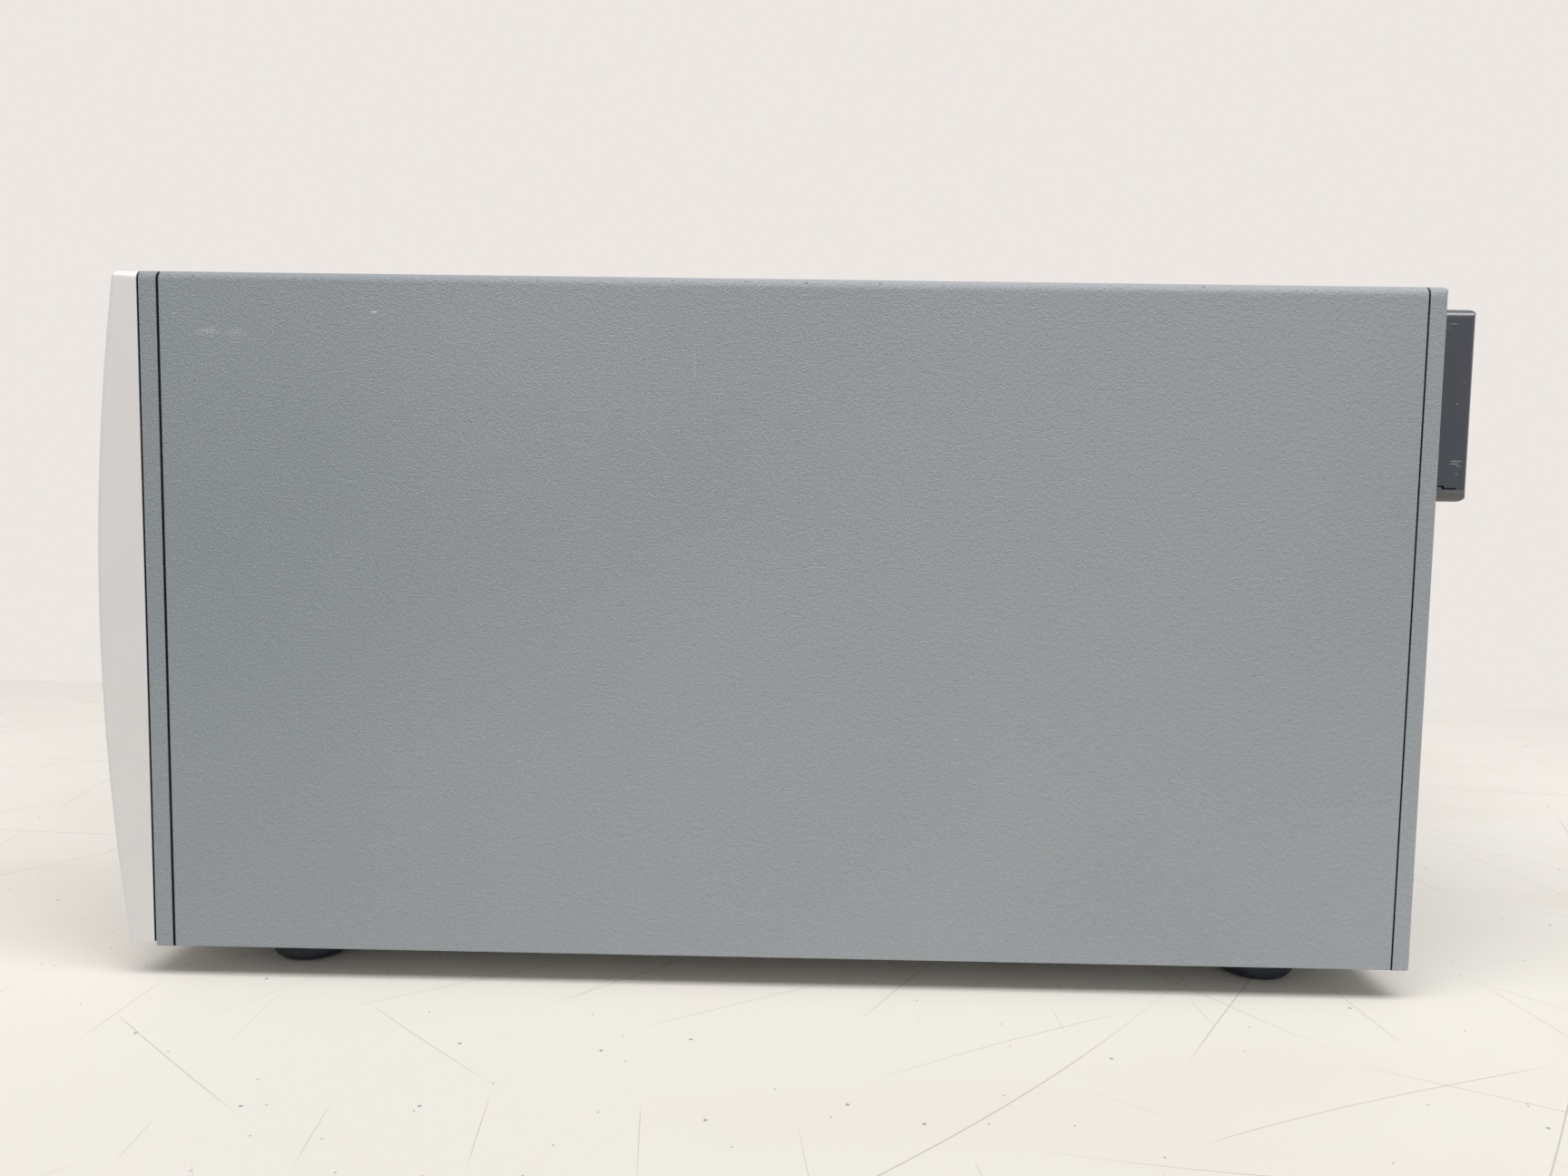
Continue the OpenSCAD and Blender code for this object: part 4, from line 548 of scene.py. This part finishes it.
def softened(node, edge_r):
    """Stands for a CAD node: its own shape, merged, with every sharp edge rounded by edge_r."""
    mesh = NODES[node].data.copy()
    mesh.materials.clear()
    bm = bmesh.new()
    bm.from_mesh(mesh)
    bmesh.ops.remove_doubles(bm, verts=bm.verts, dist=MERGE)
    bmesh.ops.dissolve_limit(bm, angle_limit=FLAT, verts=bm.verts, edges=bm.edges)
    mark_edges(bm)
    bm.to_mesh(mesh)
    bm.free()
    piece = new_piece(node + "_finished", mesh)
    if edge_r:
        bevel = piece.modifiers.new("edges", "BEVEL")
        bevel.width = edge_r
        bevel.segments = 2
        bevel.limit_method = "ANGLE"
        bevel.angle_limit = SHARP
        even_normals(piece)
        plain_mesh(piece)
    return piece


def cut_across(bm, faces, direction, places):
    """Cuts those faces by one plane at each place along a direction, and gives all that they became."""
    geometry = dict.fromkeys(faces)
    for face in faces:
        geometry.update(dict.fromkeys([*face.edges, *face.verts]))
    geometry = list(geometry)
    for place in places:
        cut = bmesh.ops.bisect_plane(
            bm, geom=geometry, dist=MERGE, plane_co=direction * place, plane_no=direction
        )
        geometry = cut["geom"]
    return geometry


# The bowed front: radius of its upright edges, radius of the bow and height of its crest, the heights
# between which the edges are plainly round, and the size of the facets that are laid on them
ROUND_R = 2.6 * MM
BOW_R = 920 * MM
BOW_Z = 136 * MM
ROUND_LOW, ROUND_HIGH = 16 * MM, 255 * MM
FACET_LONG = 4 * MM
FACET_TURN = 15
# Its top is lifted ahead of the frame by this slope, from none at LIFT_LOW to all at LIFT_HIGH
LIFT_SLOPE = 0.055
LIFT_LOW, LIFT_HIGH = 222 * MM, 248 * MM


def true_moulding(piece):
    """Lays the long facets of the moulding's upright edges on their exact round, and lifts its top."""
    front_low, front_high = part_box("front_fascia")
    half_w = front_high.x
    bow_y = front_low.y + BOW_R
    bm = bmesh.new()
    bm.from_mesh(piece.data)

    def on_round(vert):
        depth = BOW_R - math.hypot(vert.co.y - bow_y, vert.co.z - BOW_Z)
        side = half_w - abs(vert.co.x)
        beside = side < ROUND_R + 0.02 * MM and depth < ROUND_R + 0.6 * MM
        return beside and ROUND_LOW < vert.co.z < ROUND_HIGH

    zone = [face for face in bm.faces if all(on_round(vert) for vert in face.verts)]
    height = ROUND_HIGH - ROUND_LOW
    steps = int(height / FACET_LONG)
    levels = [ROUND_LOW + height * step / steps for step in range(1, steps)]
    geometry = cut_across(bm, zone, Vector((0, 0, 1)), levels)
    zone = [item for item in geometry if isinstance(item, bmesh.types.BMFace)]
    turns = [math.radians(turn) for turn in range(FACET_TURN, 90, FACET_TURN)]
    widths = [half_w - ROUND_R * (1 - math.cos(turn)) for turn in turns]
    geometry = cut_across(bm, zone, Vector((1, 0, 0)), widths + [-width for width in widths])
    for vert in [item for item in geometry if isinstance(item, bmesh.types.BMVert)]:
        away = Vector((vert.co.y - bow_y, vert.co.z - BOW_Z))
        across = Vector((abs(vert.co.x) - half_w + ROUND_R, away.length - BOW_R + ROUND_R))
        if across.x < 0 or across.y < 0 or across.length < 0.2 * ROUND_R:
            continue
        across = across.normalized() * ROUND_R
        away = away.normalized() * (BOW_R - ROUND_R + across.y)
        x = math.copysign(half_w - ROUND_R + across.x, vert.co.x)
        vert.co = (x, bow_y + away.x, BOW_Z + away.y)
    for vert in bm.verts:
        share = min(max((vert.co.z - LIFT_LOW) / (LIFT_HIGH - LIFT_LOW), 0), 1)
        ahead = max(front_high.y - vert.co.y, 0)
        vert.co.z += share * share * (3 - 2 * share) * ahead * LIFT_SLOPE
    bmesh.ops.remove_doubles(bm, verts=bm.verts, dist=5 * MERGE)
    bmesh.ops.recalc_face_normals(bm, faces=bm.faces)
    mark_edges(bm)
    bm.to_mesh(piece.data)
    bm.free()
    even_normals(piece)
    plain_mesh(piece)


def finish_node(node, edge_r=None):
    """Gives a CAD node its finish, on a softened copy if edge_r is given."""
    slot = SLOT_OF[node]
    if edge_r is None:
        piece = NODES[node]
        piece.data.materials.clear()
    else:
        piece = softened(node, edge_r)
        if node == "front_fascia":
            true_moulding(piece)
        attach(piece, NODES[node]["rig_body"])
        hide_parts(node)
    piece.data.materials.clear()
    piece.data.materials.append(FINISHES[slot])
    return piece


# Radius in mm of the sharp edges of the nodes that are shown by a softened copy
SOFT_EDGES = {
    "top_cover": 0.45,
    "front_frame": 0.45,
    "rear_panel": 0.45,
    "base_pan": 0.3,
    "front_fascia": 0.4,
    "plate_door": 0.35,
    "load_button": 0.5,
    "filter_hood": 0.3,
    "power_inlet": 0.4,
    "power_rocker": 0.4,
    "foot_front_left": 0.3,
    "foot_front_right": 0.3,
    "foot_rear_left": 0.3,
    "foot_rear_right": 0.3,
    "plate_carrier": 0.4,
    "plate_clamp": 0.2,
    "front_crossbar": 0.3,
    "rear_crossbar": 0.3,
}
for node in NODES:
    finish_node(node, SOFT_EDGES[node] * MM if node in SOFT_EDGES else None)


# ---------- small fittings, repeated by Geometry Nodes ----------
def geometry_tree(name, inputs):
    """Geometry Nodes tree with those named inputs: gives them, a way to add a node, and one to end it."""
    tree = bpy.data.node_groups.new(name, "GeometryNodeTree")
    for label, kind in [("Points", "Geometry")] + inputs + [("Finish", "Material")]:
        tree.interface.new_socket(label, in_out="INPUT", socket_type="NodeSocket" + kind)
    tree.interface.new_socket("Geometry", in_out="OUTPUT", socket_type="NodeSocketGeometry")
    given = tree.nodes.new("NodeGroupInput").outputs

    def add(kind, sockets, **settings):
        made = tree.nodes.new(kind)
        for key, value in settings.items():
            setattr(made, key, value)
        for key, value in sockets.items():
            for one in value if isinstance(value, list) else [value]:
                if isinstance(one, bpy.types.NodeSocket):
                    tree.links.new(one, made.inputs[key])
                else:
                    made.inputs[key].default_value = one
        return made.outputs[0]

    def end(shape, rotation):
        placed = {"Points": given["Points"], "Instance": shape, "Rotation": rotation}
        real = add("GeometryNodeRealizeInstances", {0: add("GeometryNodeInstanceOnPoints", placed)})
        coated = add("GeometryNodeSetMaterial", {"Geometry": real, "Material": given["Finish"]})
        tree.links.new(coated, tree.nodes.new("NodeGroupOutput").inputs[0])
        return tree

    return given, add, end


def stepped_studs():
    """A stud at each point: a body with any number of sides, and a round collar on it."""
    sizes = ("Radius", "Height", "Collar radius", "Collar height")
    inputs = [("Sides", "Int")] + [(size, "Float") for size in sizes] + [("Turn", "Vector")]
    given, add, end = geometry_tree("stepped_studs", inputs)
    body = {"Vertices": given["Sides"], "Radius": given["Radius"], "Depth": given["Height"]}
    collar = {"Vertices": 32, "Radius": given["Collar radius"], "Depth": given["Collar height"]}
    tall = add("ShaderNodeMath", {0: given["Height"], 1: given["Collar height"]}, operation="ADD")
    half = add("ShaderNodeMath", {0: tall, 1: 0.5}, operation="MULTIPLY")
    up = add("ShaderNodeCombineXYZ", {"Z": half})
    low = add("GeometryNodeMeshCylinder", body)
    high = {"Geometry": add("GeometryNodeMeshCylinder", collar), "Translation": up}
    joined = add("GeometryNodeJoinGeometry", {0: [low, add("GeometryNodeTransform", high)]})
    return end(joined, add("FunctionNodeEulerToRotation", {0: given["Turn"]}))


def bent_legs():
    """A chip's leg at each point, turned about Z by the point's own turn: a riser and a foot."""
    inputs = [("Width", "Float"), ("Rise", "Float"), ("Foot", "Float"), ("Thickness", "Float")]
    given, add, end = geometry_tree("bent_legs", inputs)

    def half(value):
        return add("ShaderNodeMath", {0: value, 1: 0.5}, operation="MULTIPLY")

    def bar(long, high, x, z):
        size = add("ShaderNodeCombineXYZ", {"X": long, "Y": given["Width"], "Z": high})
        place = add("ShaderNodeCombineXYZ", {"X": x, "Z": z})
        cube = add("GeometryNodeMeshCube", {"Size": size})
        return add("GeometryNodeTransform", {"Geometry": cube, "Translation": place})

    riser = bar(given["Thickness"], given["Rise"], half(given["Thickness"]), half(given["Rise"]))
    foot = bar(given["Foot"], given["Thickness"], half(given["Foot"]), half(given["Thickness"]))
    turn = add("GeometryNodeInputNamedAttribute", {"Name": "turn"}, data_type="FLOAT")
    spin = add("FunctionNodeEulerToRotation", {0: add("ShaderNodeCombineXYZ", {"Z": turn})})
    return end(add("GeometryNodeJoinGeometry", {0: [riser, foot]}), spin)


def repeated(name, body, slot, tree, points, turns=None, **sizes):
    """One piece: the tree's shape at each point, with the given sizes. It rides on that body."""
    mesh = bpy.data.meshes.new(name)
    mesh.from_pydata(points, [], [])
    if turns:
        mesh.attributes.new("turn", "FLOAT", "POINT").data.foreach_set("value", turns)
    piece = new_piece(name, mesh)
    repeat = piece.modifiers.new("repeat", "NODES")
    repeat.node_group = tree
    sockets = [item for item in tree.interface.items_tree if item.in_out == "INPUT"]
    identifier = {item.name: item.identifier for item in sockets}
    for key, value in sizes.items():
        repeat[identifier[key.replace("_", " ")]] = value
    plain_mesh(piece)
    bm = bmesh.new()
    bm.from_mesh(piece.data)
    mark_edges(bm)
    bm.to_mesh(piece.data)
    bm.free()
    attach(piece, body)
    return piece


def filter_glass(name):
    """Interference filter: dark glass whose coating runs from violet to green."""
    glass = Finish(name, Metallic=0.5, Coat_Weight=0.7, Coat_Roughness=0.05)
    drift = glass.noise(90, 1.0)
    film = glass.noise(1600, 1.0)
    return glass.wear(
        Base_Color=glass.mix(drift.rise(0.35, 0.65), rgb(112, 78, 150), rgb(72, 132, 128)),
        Roughness=0.08 + film * 0.06,
        Normal=glass.bump(film, 0.00001, 0.3),
    )


STUDS = stepped_studs()
COATED_GLASS = filter_glass("coated_filter_glass")
QUARTER = math.pi / 2
# Each filter wheel: its seats, their ring's radius, their distance from the middle, and its axle
FILTERS = 8
FILTER_RING_R = 31.6 * MM
FILTER_X = 85.3 * MM
AXLE_Y, AXLE_Z = 9.95 * MM, 178 * MM


def filter_ring(side):
    """Middles of the filter seats of the wheel on that side of the optics."""
    places = []
    for seat in range(FILTERS):
        turn = math.pi + math.tau * seat / FILTERS
        y = AXLE_Y + FILTER_RING_R * math.cos(turn)
        places.append((side * FILTER_X, y, AXLE_Z + FILTER_RING_R * math.sin(turn)))
    return places


for wheel, side in (("excitation", 1), ("emission", -1)):
    repeated(
        wheel + "_filters", wheel, "light_pipe", STUDS, filter_ring(side), Sides=40, Radius=6.2 * MM,
        Height=0.6 * MM, Collar_radius=5.2 * MM, Collar_height=0.5 * MM, Turn=(0, side * QUARTER, 0),
        Finish=COATED_GLASS,
    )

# The serial socket's middle, a little above that of its box, and the place and height of its jack screws
SERIAL_LOW, SERIAL_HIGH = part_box("serial_port")
SERIAL_X = (SERIAL_LOW.x + SERIAL_HIGH.x) / 2
SERIAL_Z = (SERIAL_LOW.z + SERIAL_HIGH.z) / 2 + 0.6 * MM
JACK_X = 12.5 * MM
JACK_TALL = 4.0 * MM
repeated(
    "serial_jack_screws", "frame", "bright_steel", STUDS,
    [(SERIAL_X + side * JACK_X, PANEL_Y + JACK_TALL / 2, SERIAL_Z) for side in (-1, 1)],
    Sides=6, Radius=2.6 * MM, Height=JACK_TALL, Collar_radius=1.7 * MM, Collar_height=0.5 * MM,
    Turn=(-QUARTER, 0, 0), Finish=FINISHES["bright_steel"],
)

# Chips of the main board, in mm from its corner: middle, width and length
CHIPS = ((25, 32, 20, 20), (60, 42, 14, 20), (40, 77, 10, 16), (76, 80, 12, 8))
BOARD_CORNER = (20.0, 118.85)
LEG_PITCH = 1.27


def chip_legs():
    """Where each leg meets the board, and its turn."""
    places, turns = [], []
    for x, y, wide, long in CHIPS:
        count = int((long - 1) / LEG_PITCH)
        for side in (1, -1):
            for leg in range(count):
                along = y + (leg - (count - 1) / 2) * LEG_PITCH
                spot = (BOARD_CORNER[0] + x + side * wide / 2, BOARD_CORNER[1] + along)
                places.append((spot[0] * MM, spot[1] * MM, BOARD_TOP))
                turns.append(0 if side > 0 else math.pi)
    return places, turns


LEG_PLACES, LEG_TURNS = chip_legs()
repeated(
    "main_board_legs", "frame", "bright_steel", bent_legs(), LEG_PLACES, LEG_TURNS,
    Width=0.5 * MM, Rise=1.3 * MM, Foot=1.1 * MM, Thickness=0.25 * MM, Finish=FINISHES["bright_steel"],
)


# ---------- stage, light and camera ----------
# Bench top, in metres: its front edge, its side edges, and the rear edge's place at its left and right end
TABLE_FRONT = 3.0
TABLE_SIDE = 4.0
TABLE_BACK = (-0.489, -0.386)
# Families of scratches on the bench: lines to a metre, width in metres, direction in radians
BENCH_SCRATCHES = (
    (6.0, 0.00045, 0.4),
    (9.0, 0.00035, 2.3),
    (11.0, 0.00030, 1.25),
    (7.0, 0.00045, -0.62),
    (13.0, 0.00028, 2.85),
    (15.0, 0.00028, 0.85),
    (19.0, 0.00025, 1.7),
)


def table_top():
    """Pale laminate bench top, scratched, smeared and mottled, and painted darker towards its front edge as
    shade; its rear edge lies behind the case.
    """
    back_left, back_right = TABLE_BACK
    corners = [
        (back_left, -TABLE_SIDE, 0),
        (TABLE_FRONT, -TABLE_SIDE, 0),
        (TABLE_FRONT, TABLE_SIDE, 0),
        (back_right, TABLE_SIDE, 0),
    ]
    mesh = bpy.data.meshes.new("table_top")
    mesh.from_pydata(corners, [], [(0, 1, 2, 3)])
    laminate = Finish("pale_laminate", Specular_IOR_Level=0.25)
    wear = laminate.noise(14, 3.0)
    near_painted_shade = laminate.axes()[0].rise(0.0, 0.45)
    smears = laminate.noise(9, 4.0, laminate.stretch(1, 0.35, 1, (0, 0, 0.5))).rise(0.5, 0.7)
    lines = sum(laminate.bench_scratches(*family) for family in BENCH_SCRATCHES)
    grit = laminate.dots(24, 0.0009, 0.30, "2D") + laminate.dots(60, 0.0005, 0.12, "2D")
    # Painted shade: the top is painted darker towards its front edge
    tone = laminate.mix(near_painted_shade, rgb(240, 237, 230), rgb(224, 221, 213))
    tone = laminate.mix(wear * 0.3 + smears * 0.25, tone, rgb(222, 215, 206))
    tone = laminate.mix(lines * 0.6, tone, rgb(158, 146, 138))
    tone = laminate.mix(grit * 0.75, tone, rgb(104, 106, 108))
    mesh.materials.append(laminate.wear(Base_Color=tone, Roughness=0.5 + wear * 0.2))
    top = new_piece("table_top", mesh)


def room():
    """Even pale room: its colour shows to the camera and in reflections, and its light is softer."""
    world = bpy.data.worlds.new("room")
    bpy.context.scene.world = world
    world.use_nodes = True
    tree = world.node_tree
    tree.nodes.clear()
    seen = tree.nodes.new("ShaderNodeBackground")
    seen.inputs["Color"].default_value = rgb(236, 231, 226)
    seen.inputs["Strength"].default_value = 1.0
    fill = tree.nodes.new("ShaderNodeBackground")
    fill.inputs["Color"].default_value = (1.0, 0.99, 0.985, 1.0)
    fill.inputs["Strength"].default_value = 0.42
    path = tree.nodes.new("ShaderNodeLightPath")
    first = tree.nodes.new("ShaderNodeMath")
    first.operation = "MAXIMUM"
    both = tree.nodes.new("ShaderNodeMath")
    both.operation = "MAXIMUM"
    choice = tree.nodes.new("ShaderNodeMixShader")
    end = tree.nodes.new("ShaderNodeOutputWorld")
    tree.links.new(path.outputs["Is Camera Ray"], first.inputs[0])
    tree.links.new(path.outputs["Is Glossy Ray"], first.inputs[1])
    tree.links.new(first.outputs[0], both.inputs[0])
    tree.links.new(path.outputs["Is Transmission Ray"], both.inputs[1])
    tree.links.new(both.outputs[0], choice.inputs[0])
    tree.links.new(fill.outputs[0], choice.inputs[1])
    tree.links.new(seen.outputs[0], choice.inputs[2])
    tree.links.new(choice.outputs[0], end.inputs["Surface"])


def lamp(name, place, target, width, height, power):
    """Soft rectangular lamp that looks from place to target."""
    light = bpy.data.lights.new(name, "AREA")
    light.shape = "RECTANGLE"
    light.size = width
    light.size_y = height
    light.energy = power
    holder = bpy.data.objects.new(name, light)
    bpy.context.scene.collection.objects.link(holder)
    holder.location = place
    holder.rotation_euler = (Vector(target) - Vector(place)).to_track_quat("-Z", "Y").to_euler()


def camera():
    """Level with the case's right-hand side, a little above it."""
    view = bpy.data.cameras.new("camera")
    view.sensor_width = 36
    view.lens = 27.04
    view.clip_start = 0.01
    holder = bpy.data.objects.new("camera", view)
    holder.location = (0.63774, 0.00555, 0.18492)
    holder.rotation_euler = Euler([math.radians(a) for a in (85.442, -0.861, 90.824)])
    bpy.context.scene.collection.objects.link(holder)
    bpy.context.scene.camera = holder


table_top()
room()
lamp("ceiling", (0.82, 0.15, 2.1), (0.15, 0.1, 0), 3.6, 0.9, 52)
camera()
bpy.context.scene.view_settings.view_transform = "Standard"
